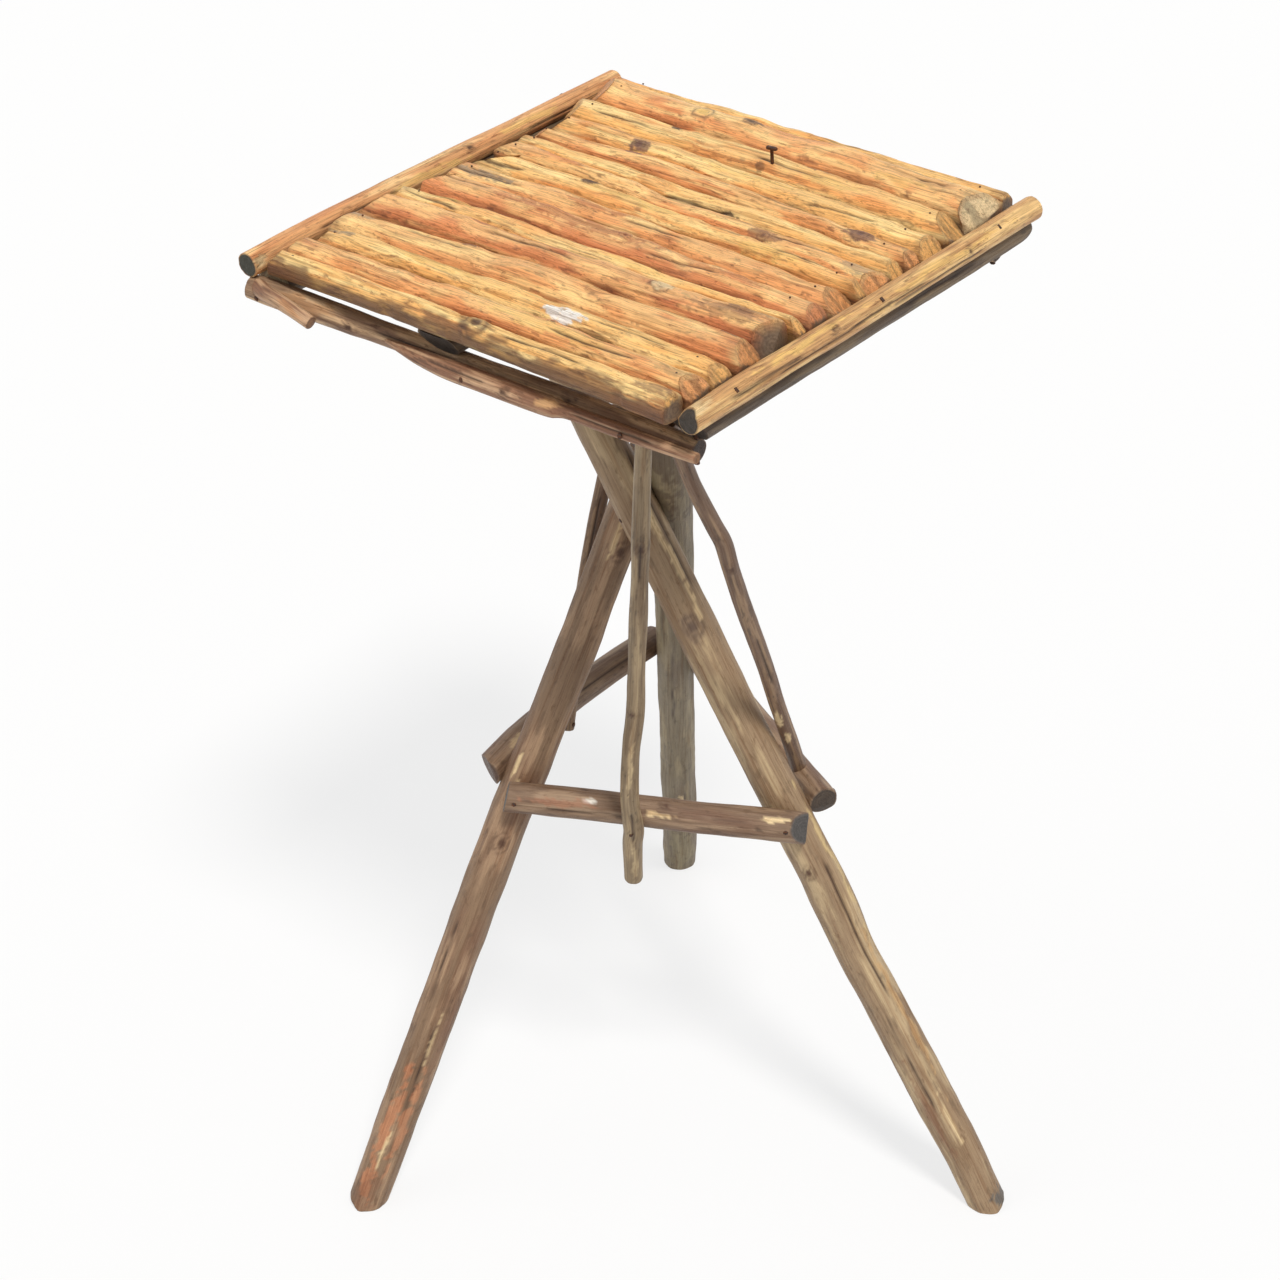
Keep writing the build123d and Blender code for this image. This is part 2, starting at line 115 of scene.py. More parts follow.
LOOKS = {
    "orange": palette((236, 166, 103), (255, 211, 142), (166, 98, 56), (220, 138, 82)),
    "yellow": palette((246, 188, 112), (255, 221, 151), (188, 121, 67), (232, 152, 84)),
    "red": palette((222, 144, 90), (248, 190, 124), (146, 84, 51), (202, 121, 75)),
    "rail": palette((206, 158, 104), (240, 200, 136), (132, 92, 58), (184, 130, 84)),
    "rail_left": palette((222, 164, 110), (248, 206, 146), (150, 98, 60), (206, 136, 86)),
    "under": palette((154, 123, 95), (210, 174, 134), (84, 59, 45), (133, 98, 74)),
    "branch": palette((150, 108, 80), (206, 168, 132), (86, 58, 42), (130, 90, 66)),
    "bearer": palette((95, 77, 60), (123, 103, 77), (53, 41, 31), (79, 63, 48)),
    "leg_a": palette((130, 104, 80), (162, 132, 104), (91, 67, 48), (121, 87, 65)),
    "leg_b": palette((150, 125, 97), (186, 162, 127), (101, 80, 57), (133, 106, 78)),
    "leg_c": palette((122, 108, 84), (146, 130, 100), (84, 72, 54), (110, 92, 70)),
    "stretcher": palette((125, 100, 79), (158, 132, 107), (77, 56, 44), (111, 81, 62)),
    "brace": palette((132, 112, 85), (162, 140, 109), (88, 70, 52), (116, 94, 70)),
    "brace_dark": palette((116, 90, 70), (148, 120, 92), (72, 52, 40), (102, 76, 58)),
}
KNOT = srgb(84, 56, 38)
DARK = srgb(58, 38, 26)
PALE = srgb(232, 206, 160)
GREY = srgb(142, 128, 108)
PURPLE = srgb(112, 76, 66)
WHITE = srgb(226, 220, 210)
STAIN = srgb(126, 82, 56)
YELLOW = srgb(240, 198, 118)


# ---- meshes

def build(name, verts, faces, attributes, material):
    """A smooth mesh from millimetre points, with point attributes for the material."""
    mesh = bpy.data.meshes.new(name)
    mesh.from_pydata((np.asarray(verts) + TOP) / 1000, [], faces)
    for key, values in attributes.items():
        values = np.asarray(values, float)
        single = values.ndim == 1
        data = mesh.attributes.new(key, "FLOAT" if single else "FLOAT_VECTOR", "POINT").data
        data.foreach_set("value" if single else "vector", values.ravel())
    mesh.polygons.foreach_set("use_smooth", [True] * len(mesh.polygons))
    mesh.materials.append(material)
    piece = bpy.data.objects.new(name, mesh)
    bpy.context.scene.collection.objects.link(piece)
    return piece


def grid_faces(rings, around):
    i, j = np.meshgrid(np.arange(rings - 1), np.arange(around), indexing="ij")
    k = (j + 1) % around
    corners = [i * around + j, i * around + k, (i + 1) * around + k, (i + 1) * around + j]
    return np.stack(corners, -1).reshape(-1, 4)


def skin_faces(rings, around, base=0):
    """Faces over rings of points, with fans to the two tips that follow them."""
    faces = (grid_faces(rings, around) + base).tolist()
    first, last_ring = base + rings * around, base + (rings - 1) * around
    for j in range(around):
        k = (j + 1) % around
        faces.append([first, base + k, base + j])
        faces.append([first + 1, last_ring + j, last_ring + k])
    return faces


def capped(name, rings, attributes, material, tips):
    """A closed skin over rings of points (ring, around, 3), with a tip at each end."""
    count, around = rings.shape[:2]
    full = {}
    for key, values in attributes.items():
        side = values.reshape(count * around, *values.shape[2:])
        full[key] = np.concatenate([side, np.stack([values[0].mean(0), values[-1].mean(0)])])
    verts = np.vstack([rings.reshape(-1, 3), tips])
    return build(name, verts, skin_faces(count, around), full, material)


def ride(piece, nodes):
    """Puts a piece on the one body, in place of the nodes it stands for."""
    for node in nodes:
        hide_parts(node)
    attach(piece, "root")


def curved(rows):
    """A dense smooth curve through rows of x, y, z, radius."""
    rows = np.array(rows, float)
    if len(rows) == 2:
        return rows[0] + (rows[1] - rows[0]) * np.linspace(0, 1, 200)[:, None]
    padded = np.vstack([2 * rows[0] - rows[1], rows, 2 * rows[-1] - rows[-2]])
    t = np.linspace(0, 1, 60, endpoint=False)[:, None]
    pieces = []
    for a, b, c, d in zip(padded, padded[1:], padded[2:], padded[3:]):
        square = 2 * a - 5 * b + 4 * c - d
        cube = 3 * b - a - 3 * c + d
        pieces.append(0.5 * (2 * b + (c - a) * t + square * t**2 + cube * t**3))
    return np.vstack(pieces + [rows[-1:]])


def spline(rows):
    """The curve's points, radii and distances at an even step."""
    dense = curved(rows)
    steps = np.linalg.norm(np.diff(dense[:, :3], axis=0), axis=1)
    length = np.concatenate([[0], np.cumsum(steps)])
    along = np.linspace(0, length[-1], max(4, int(length[-1] / STICK_STEP) + 1))
    out = np.stack([np.interp(along, length, dense[:, k]) for k in range(4)], 1)
    return out[:, :3], out[:, 3], along


def frames(line, facing):
    """The direction of a line, the way to the viewer or up, and the side."""
    tangent = np.gradient(line, axis=0)
    tangent /= np.linalg.norm(tangent, axis=1)[:, None]
    toward = UP + 0 * line if facing == "up" else CAMERA - line
    toward = toward - (toward * tangent).sum(1)[:, None] * tangent
    toward /= np.linalg.norm(toward, axis=1)[:, None]
    return tangent, toward, np.cross(tangent, toward)


def clip_ends(points, tips, runs, tip_runs, cuts):
    """Slides points that stick out past a cutting plane back along the stick."""
    for origin, normal in cuts:
        origin, normal = np.array(origin, float), np.array(normal, float)
        normal /= np.linalg.norm(normal)
        for values, ways in ((points, runs), (tips, tip_runs)):
            over = np.clip(((values - origin) * normal).sum(-1), 0, None)
            slope = (ways * normal).sum(-1)
            slope = np.where(np.abs(slope) < 0.2, 0.2, slope)
            values -= ways * (over / slope)[..., None]


def plane_down(points, flats):
    """Presses points that stick out past a plane down to it."""
    for origin, normal in flats:
        normal = np.array(normal, float) / np.linalg.norm(normal)
        over = np.clip(((points - np.array(origin)) * normal).sum(-1), 0, None)
        points = points - over[..., None] * normal
    return points


# ---- blemishes

# A blemish of the wood, placed by the distance along a stick and the angle from the side that
# faces the viewer, in degrees, positive to the right or down. Its shape says how far it raises
# the surface, and how much of its colour it lays on
Blemish = namedtuple("Blemish", "shape place angle long wide deep colour amount")


def knot_shape(item, da, dc, along, theta, seed):
    """A raised rim round a sunken eye."""
    wander = noise(along / 9, theta * 2, 0, seed + 5)
    d = np.sqrt((da / 1.3) ** 2 + dc**2) / item.wide * (1 + 0.25 * wander)
    lift = item.deep * (bell(d / 1.4) - 0.9 * bell(d / 0.5))
    paint = np.exp(-(d / 0.6) ** 6) + 0.6 * bell((d - 1.05) / 0.16)
    return lift, np.clip(paint, 0, 1)


def crack_shape(item, da, dc, along, theta, seed):
    """A wandering slit that fades out at both ends."""
    line = dc + 0.5 * item.wide * noise(along / 14, 0, 0, seed + 9)
    window = 1 - smooth(np.abs(da), 0.35 * item.long, 0.5 * item.long)
    cut = bell(line / item.wide) * window
    return -item.deep * cut, np.clip(1.3 * cut, 0, 1)


def patch_shape(item, da, dc, along, theta, seed):
    """A ragged oval, sunk where the wood is hewn flat."""
    dc = dc + 0.25 * item.wide * noise(along / 11, 0, 3, seed + 4)
    edge = (da / (0.5 * item.long)) ** 2 + (dc / (0.5 * item.wide)) ** 2
    edge = edge + 0.55 * noise(along / 9, theta * 2, 0, seed + 5)
    edge = edge + 0.5 * noise(along / 2.5, theta * 7, 1, seed + 3)
    inside = 1 - smooth(edge, 0.55, 0.95)
    return -item.deep * inside, inside


def knot(place, angle, size, height=0.6, colour=KNOT):
    return Blemish(knot_shape, place, angle, size, size, height, colour, 1.0)


def mark(place, angle, long, wide, colour, amount=0.8):
    return Blemish(patch_shape, place, angle, long, wide, 0.0, colour, amount)


def flat(place, angle, long, wide, deep, colour=PALE, amount=0.8):
    return Blemish(patch_shape, place, angle, long, wide, deep, colour, amount)


def crack(place, angle, long, wide=0.7, deep=0.9):
    return Blemish(crack_shape, place, angle, long, wide, deep, DARK, 0.9)


def painted(look, along, unit, seed, streaky):
    """The stick's own colours: streaks that run with the grain, over broad blotches."""
    y, z = unit[..., 0], unit[..., 1]
    colour = look.plain + 0 * along[..., None]
    # colour, length and fineness of the pattern, where it starts to show and is full, amount
    for layer, (tint, long, fine, low, high, amount) in enumerate((
            (look.blotch, 70, 0.9, -0.05, 0.45, 0.8), (look.light, 42, 2.2, 0.0, 0.3, 0.85),
            (look.dark, 30, 6.5, 0.2, 0.5, 0.55 * streaky),
            (look.dark * 0.6, 9, 5.5, 0.36, 0.5, 0.7 * streaky))):
        pattern = fractal(along / long, y * fine, z * fine, seed + layer)
        colour = blend(colour, tint, smooth(pattern, low, high) * amount)
    return colour


# ---- sticks

# The rings that close the end of a stick: size against the stick, way out, share of sawn face
END_RINGS = ((0.985, 0.2, 0.4), (0.94, 0.35714, 0.4), (0.86, 0.5, 1), (0.7, 0.5, 1),
             (0.45, 0.5, 1), (0.2, 0.5, 1))


def held(values):
    """Values along the stick, repeated for the rings that close its ends."""
    extra = len(END_RINGS)
    first, last = np.repeat(values[:1], extra, 0), np.repeat(values[-1:], extra, 0)
    return np.concatenate([first, values, last])[:, None]


def sawn_end(edge, middle, way, unit, colour, sawn, seed):
    """The points, colours and face shares of the rings that close one end."""
    rows = []
    for share, step, flat_share in END_RINGS:
        wobble = 0.25 * noise(unit[:, 0] * 3 * share, unit[:, 1] * 3 * share, share, seed + 77)
        out = step + wobble * (flat_share == 1)
        ring = middle + (edge - middle) * share + way * out[:, None]
        grain = 0.85 + 0.2 * noise(share * 14, 0, unit[:, 0] * 0.5, seed + 78)
        face = np.full(len(ring), float(flat_share))
        rows.append((ring, blend(colour, sawn * grain[:, None], face), face))
    return [np.stack(values) for values in zip(*rows)]


def with_ends(first, body, last):
    """Joins the rings of the first end, the body and the last end."""
    return [np.concatenate([a[::-1], b, c]) for a, b, c in zip(first, body, last)]


def peeled_side(radius, along, unit, theta, colour, marks, seed):
    """How far the side of a stick reaches from its middle, and its colours."""
    y, z = unit[..., 0], unit[..., 1]
    lumps = 0.075 * fractal(along / 44, y * 0.8, z * 0.8, seed + 40)
    ridges = 0.026 * noise(along / 85, y * 3.5, z * 3.5, seed + 41)
    fine = 0.014 * noise(along / 12, y * 6, z * 6, seed + 42)
    reach = radius * (1 + lumps + ridges + fine)
    for number, item in enumerate(marks):
        turn = (theta - radians(item.angle) + pi) % (2 * pi) - pi
        lift, paint = item.shape(item, along - item.place, turn * radius,
                                 along + 0 * theta, theta + 0 * along, seed + 60 + number)
        reach = reach + lift
        colour = blend(colour, item.colour, paint * item.amount)
    return reach, colour


def stick(name, rows, wood_look, slot, marks=(), seed=1, nodes=None, around=44, facing="camera",
          cuts=(), flats=(), squash=(1.0, 1.0), sawn=None, streaky=0.8):
    """A peeled stick along rows of x, y, z, radius.

    nodes are the solids it stands for, by default the one of its own name. cuts are planes that
    an end is cut to, flats are planes that its side is planed to, squash is its width and height
    against the radius, marks are its blemishes, and sawn is the colour of its end faces.
    """
    line, radius, along = spline(rows)
    tangent, toward, side = frames(line, facing)
    theta = np.linspace(0, 2 * pi, around, endpoint=False)[None, :]
    a, r = along[:, None], radius[:, None]
    unit = np.stack(np.broadcast_arrays(np.cos(theta) + 0 * a, np.sin(theta) + 0 * a), -1)
    colour = painted(LOOKS[wood_look], a + 0 * theta, unit, seed, streaky)
    reach, colour = peeled_side(r, a, unit, theta, colour, marks, seed)
    ways = squash[1] * unit[..., :1] * toward[:, None] + squash[0] * unit[..., 1:] * side[:, None]
    points = line[:, None] + reach[..., None] * ways

    sawn = srgb(*sawn) if sawn else LOOKS[wood_look].dark * 1.1
    first, last = (sawn_end(points[end], line[end], out * tangent[end], unit[0], colour[end], sawn, seed)
                   for end, out in ((0, -1), (-1, 1)))
    body = points, colour, np.zeros(points.shape[:2])
    points, colour, face = with_ends(first, body, last)

    tips = np.stack([points[0].mean(0), points[-1].mean(0)])
    clip_ends(points, tips, held(tangent) + 0 * points, tangent[[0, -1]], cuts)
    points = plane_down(points, flats)
    offset = points - held(line)
    grain = np.stack([held(along) + seed * 37.0 + 0 * face, (offset * held(toward)).sum(-1),
                      (offset * held(side)).sum(-1)], -1)
    data = {"tone": colour, "grain": grain, "endface": face}
    piece = capped(f"peeled_{name}", points, data, MATERIALS[slot], tips)
    ride(piece, nodes or [name])


# ---- materials

class Graph:
    """The nodes of a material or of the world."""

    def __init__(self, owner):
        owner.use_nodes = True
        self.tree = owner.node_tree

    def __getitem__(self, name):
        return self.tree.nodes[name]

    def feed(self, socket, value):
        """Sets a socket, or links another node's output to it."""
        if isinstance(value, bpy.types.NodeSocket):
            self.tree.links.new(value, socket)
        elif isinstance(value, tuple) and socket.type == "RGBA":
            socket.default_value = (*value, 1)
        else:
            socket.default_value = value

    def made(self, kind, inputs=None, **settings):
        """A new node with its inputs fed, by name or by number."""
        node = self.tree.nodes.new("ShaderNode" + kind)
        for key, value in settings.items():
            setattr(node, key, value)
        for key, value in (inputs or {}).items():
            self.feed(node.inputs[key], value)
        return node

    def stretched(self, grain, scale, detail, distortion):
        """Noise that is drawn out along the grain."""
        place = self.made("VectorMath", {0: grain, 1: scale}, operation="MULTIPLY").outputs[0]
        texture = self.made("TexNoise", {"Vector": place, "Scale": 1.0, "Detail": detail,
                                         "Roughness": 0.62, "Distortion": distortion})
        return texture.outputs["Fac"]

    def ramp(self, source, *stops):
        """A colour ramp, with a number or a colour at each stop."""
        made = self.made("ValToRGB", {"Fac": source})
        elements = made.color_ramp.elements
        while len(elements) < len(stops):
            elements.new(0.5)
        for element, (place, value) in zip(elements, stops):
            element.position = place
            value = value if isinstance(value, tuple) else (value, value, value)
            element.color = (*value, 1)
        return made.outputs["Color"]

    def mixed(self, kind, amount, first, second):
        """Mixes two colours. Sockets 6 and 7 are the colours' ones."""
        inputs = {"Factor": amount, 6: first, 7: second}
        return self.made("Mix", inputs, data_type="RGBA", blend_type=kind).outputs[2]

    def math(self, operation, first, second):
        return self.made("Math", {0: first, 1: second}, operation=operation).outputs[0]

    def raise_surface(self, height, strength, distance):
        inputs = {"Height": height, "Strength": strength, "Distance": distance}
        bump = self.made("Bump", inputs).outputs["Normal"]
        self.feed(self["Principled BSDF"].inputs["Normal"], bump)


# How each pattern is drawn out along the grain and across it, its detail and its distortion
PATTERNS = {
    "fibres": ((0.022, 1.5, 1.5), 6, 0.25),
    "streaks": ((0.012, 0.42, 0.42), 4, 0.6),
    "dirt": ((0.10, 0.30, 0.30), 5, 0.4),
    "pores": ((0.16, 2.6, 2.6), 3, 0.0),
    "flecks": ((0.11, 0.75, 0.75), 5, 0.9),
    "weathering": ((0.5, 0.5, 0.5), 4, 0.5),
}


def side_colour(graph, tone, figure, contrast):
    """The colour of a peeled side: patterns through ramps, each laid on the last."""
    low, shade = 1 - 0.48 * contrast, 1 - 0.42 * contrast
    layers = (
        ("fibres", 1.0, (0.30, (low, low * 0.93, low * 0.86)), (0.5, 1.0), (0.72, (1.14, 1.14, 1.12))),
        ("streaks", 0.75, (0.35, (shade, shade * 0.87, shade * 0.77)), (0.47, 1.0), (0.66, (1.2, 1.22, 1.2))),
        ("dirt", 0.8, (0.30, (0.60, 0.52, 0.45)), (0.42, 1.0)),
        ("pores", 0.6, (0.30, (0.48, 0.38, 0.30)), (0.40, 1.0)),
        ("flecks", 0.7 * contrast**2, (0.355, (0.42, 0.30, 0.22)), (0.385, 1.0)),
    )
    colour = tone
    for pattern, amount, *stops in layers:
        colour = graph.mixed("MULTIPLY", amount, colour, graph.ramp(figure[pattern], *stops))
    return colour


def sawn_colour(graph, tone, grain, figure):
    """The colour of a sawn face: growth rings round the pith, and grey weathering."""
    across = graph.made("VectorMath", {0: grain, 1: (0.0, 1.0, 1.0)}, operation="MULTIPLY")
    waves = {"Vector": across.outputs[0], "Scale": 0.16, "Distortion": 2.0, "Detail": 3.0}
    rings = graph.made("TexWave", waves, wave_type="RINGS", rings_direction="X").outputs["Fac"]
    dark_rings = graph.ramp(rings, (0.2, (0.78, 0.76, 0.74)), (0.8, (1.05, 1.04, 1.02)))
    weathered = graph.ramp(figure["weathering"], (0.35, (0.6, 0.58, 0.56)), (0.6, (1.1, 1.08, 1.04)))
    colour = graph.mixed("MULTIPLY", 0.6, tone, dark_rings)
    return graph.mixed("MULTIPLY", 0.7, colour, weathered)


def wood(name, roughness, bump, contrast):
    """Peeled wood: the tone painted on the mesh, with patterns along the grain."""
    material = bpy.data.materials.new(name)
    graph = Graph(material)
    shader = graph["Principled BSDF"]
    tone = graph.made("Attribute", attribute_name="tone").outputs["Color"]
    grain = graph.made("Attribute", attribute_name="grain").outputs["Vector"]
    face = graph.made("Attribute", attribute_name="endface").outputs["Fac"]
    figure = {key: graph.stretched(grain, *values) for key, values in PATTERNS.items()}
    side = side_colour(graph, tone, figure, contrast)
    sawn = sawn_colour(graph, tone, grain, figure)
    graph.feed(shader.inputs["Base Color"], graph.mixed("MIX", face, side, sawn))
    gloss = graph.ramp(figure["streaks"], (0.3, roughness + 0.12), (0.7, roughness - 0.08))
    graph.feed(shader.inputs["Roughness"], gloss)
    shader.inputs["Specular IOR Level"].default_value = 0.42
    height = graph.mixed("ADD", 0.5, figure["fibres"], figure["pores"])
    height = graph.mixed("ADD", 0.35, height, figure["dirt"])
    graph.raise_surface(height, bump, 0.0011)
    return material


def iron(name):
    """Rusted iron: dark metal with brown rust in patches."""
    material = bpy.data.materials.new(name)
    graph = Graph(material)
    shader = graph["Principled BSDF"]
    place = graph.made("TexCoord").outputs["Object"]
    rust = graph.made("TexNoise", {"Vector": place, "Scale": 900, "Detail": 5}).outputs["Fac"]
    tint = graph.ramp(rust, (0.4, tuple(srgb(54, 46, 42))), (0.65, tuple(srgb(110, 68, 44))))
    graph.feed(shader.inputs["Base Color"], tint)
    span = {"Value": rust, "From Min": 0.4, "From Max": 0.6, "To Min": 0.35, "To Max": 0.8}
    graph.feed(shader.inputs["Roughness"], graph.made("MapRange", span).outputs["Result"])
    shader.inputs["Metallic"].default_value = 0.55
    graph.raise_surface(rust, 0.5, 0.0003)
    return material


# Roughness, strength of the bumps and contrast of the grain
WOODS = {
    "slat_wood": (0.46, 0.75, 1.0),
    "rail_wood": (0.48, 0.75, 1.0),
    "branch_wood": (0.5, 0.6, 0.8),
    "bearer_wood": (0.55, 0.6, 0.8),
    "reddish_leg_wood": (0.5, 0.5, 0.5),
    "yellow_leg_wood": (0.5, 0.5, 0.5),
    "grey_leg_wood": (0.52, 0.5, 0.5),
    "stretcher_wood": (0.48, 0.5, 0.6),
    "brace_wood": (0.5, 0.5, 0.6),
}
MATERIALS = {name: wood(name, *values) for name, values in WOODS.items()}
MATERIALS["nail_iron"] = iron("nail_iron")


# ---- slats

# Joints of the slats from back to front, at the left end, the middle and the right end
SEAMS = (
    (161, 159.5, 161), (148.5, 148, 144.5), (117, 118, 109.5), (91, 90.5, 83.5), (68, 69, 57.5),
    (54.5, 52.5, 43), (41, 33.5, 28), (25, 20, 7.5), (3, -0.5, -5), (-21.5, -22.5, -28),
    (-46.5, -47, -50), (-66, -63.5, -61.5), (-92.5, -86.5, -87.5), (-118.5, -112.5, -112.5),
    (-138, -131, -133), (-155, -152, -152), (-168, -166.5, -170))
THICK = (15, 21.5, 19, 18, 17, 16, 17, 18, 17, 19.5, 17, 21, 20, 17.5, 17, 16)
LEFT = (-153, -148, -145, -141, -140, -140, -143, -141, -144, -147, -146, -148, -145, -141, -144, -146)
RIGHT = (153, 156.5, 156.5, 157, 157, 157, 157, 156.5, 155.5, 156, 156, 151.5, 154.5, 154, 153, 150)
LOW_SIDE = 0.36     # how high a slat's edge is widest, against its thickness
# How the ends are hewn down: the slope of the cut and the height it leaves, against the thickness
RIGHT_HEWN = {0: (1.6, 0.8), 1: (1.0, 0.42), 11: (3.0, 1.1), 12: (1.2, 0.5), 15: (1.8, 0.75)}
LEFT_HEWN = {0: (1.0, 0.6), 7: (0.5, 0.35), 9: (0.6, 0.4), 11: (0.8, 0.5), 15: (0.9, 0.55)}
PALE_END = 1        # the slat whose right end is freshly hewn
BARKED = 15         # the front slat, with bark left along its front
SLAT_LOOKS = ("yellow orange yellow yellow orange yellow orange yellow "
              "orange red yellow red orange yellow orange yellow").split()
# Further slanted cuts at the ends: slat, point on the cut, the way it faces
SLAT_CUTS = {
    1: [((155, 114, 669), (0.8, -0.6, 0.1))],
    9: [((-147, -24, 669), (-0.9, -0.3, 0.2))],
    11: [((150, -70, 688), (0.85, -0.42, 0.3))],
    15: [((149, -170, 669), (0.8, -0.6, 0.0))],
}
# Marks on the slats: slat, x, y, length, width, colour, amount
SLAT_MARKS = (
    (1, -25, 138, 14, 8, KNOT, 0.7), (1, -58, 131, 12, 8, YELLOW, 0.8), (1, 100, 122, 40, 8, YELLOW, 0.5),
    (1, 148, 128, 22, 26, srgb(214, 176, 120), 0.7), (2, -63, 110, 8, 5, DARK, 0.8),
    (2, 46, 110, 26, 7, STAIN, 0.8), (2, 14, 94, 10, 6, DARK, 0.55), (2, 60, 98, 60, 8, YELLOW, 0.6),
    (3, -66, 76, 18, 9, PURPLE, 0.8), (3, 10, 80, 70, 7, YELLOW, 0.6), (4, -62, 66, 14, 7, PURPLE, 0.7),
    (4, 118, 52, 26, 9, PURPLE, 0.8), (5, -24, 40, 34, 11, srgb(218, 150, 84), 0.6),
    (5, 36, 33, 16, 4, DARK, 0.8), (6, 72, 20, 30, 8, STAIN, 0.7), (6, 140, 18, 22, 14, GREY, 0.5),
    (7, -55, 16, 12, 7, KNOT, 0.9), (7, -10, 12, 80, 10, YELLOW, 0.8), (7, 90, 2, 50, 8, YELLOW, 0.6),
    (8, -116, -12, 52, 10, GREY, 0.7), (8, -30, -10, 60, 8, srgb(176, 96, 44), 0.6),
    (9, -20, -34, 120, 12, srgb(168, 84, 40), 0.6), (9, 90, -38, 60, 8, srgb(196, 112, 56), 0.5),
    (10, -100, -52, 50, 8, YELLOW, 0.7), (10, 40, -56, 60, 6, YELLOW, 0.5),
    (11, 72, -73, 13, 9, PALE, 0.9), (11, 120, -76, 50, 14, STAIN, 0.5), (11, 130, -70, 36, 10, DARK, 0.4),
    (12, 40, -88, 14, 6, STAIN, 0.8), (12, 137, -92, 18, 7, STAIN, 0.8), (12, -52, -94, 14, 6, STAIN, 0.8),
    (12, -132, -99, 26, 10, GREY, 0.6), (13, -128, -124, 26, 8, GREY, 0.7),
    (13, 45, -126, 30, 11, srgb(246, 242, 236), 1.0), (13, -60, -122, 80, 8, YELLOW, 0.6),
    (14, 50, -143, 90, 9, YELLOW, 0.5), (15, 12, -160, 26, 9, KNOT, 0.5), (15, 138, -160, 28, 10, STAIN, 0.6),
    (14, 135, -141, 24, 8, DARK, 0.3),
)
# Knots with a raised rim: slat, x, y, size, height
SLAT_KNOTS = (
    (1, -58, 131, 5.5, 1.0), (1, -25, 137, 4.0, 0.8), (2, -63, 110, 2.6, 0.5), (3, -66, 76, 4.0, 0.8),
    (7, -55, 16, 4.2, 0.9), (11, 72, -73, 5.0, 1.0), (12, 41, -88, 3.2, 0.6), (13, 45, -127, 4.0, 0.5),
    (12, -52, -93, 3.0, 0.6), (4, 118, 52, 4.0, 0.7), (9, 12, -32, 3.0, 1.2), (14, 48, -138, 2.4, 1.0),
    (15, 11, -160, 6.0, 1.8), (6, 72, 20, 3.2, 0.7),
)
# Cracks along the grain: slat, x, y, length
SLAT_CRACKS = (
    (5, 10, 35, 70), (8, -115, -14, 56), (8, -110, -9, 44), (10, -115, -60, 50), (11, -118, -72, 46),
    (2, 30, 100, 60), (4, 60, 60, 50), (12, -70, -100, 60), (14, 80, -144, 70), (9, 60, -40, 60),
    (1, 110, 130, 50), (3, 90, 70, 60), (6, 100, 22, 50), (13, 90, -122, 60), (0, 30, 154, 60),
    (7, 110, 4, 40), (15, 60, -162, 70), (9, -118, -33, 60), (10, -120, -54, 56), (12, -124, -98, 44),
    (13, -124, -120, 46), (7, -118, 6, 44), (8, 20, -13, 60), (11, -20, -78, 80), (2, -100, 100, 50),
)
SLAT_RINGS = (0.95, 0.86, 0.7, 0.5, 0.25)     # the sizes of the rings that close an end


def seam_at(number, x):
    """Where a joint between two slats runs: a gentle curve that wanders."""
    left, middle, right = SEAMS[number]
    t = x / 145
    curve = middle + (right - left) / 2 * t + ((left + right) / 2 - middle) * t * t
    inner = 0.0 if number in (0, len(SEAMS) - 1) else 1.0
    broad = (0.5 + 1.1 * inner) * noise(x / 30, number * 3.1, 0, 400)
    return curve + broad + (0.25 + 0.4 * inner) * noise(x / 9, number * 2.3, 4, 401)


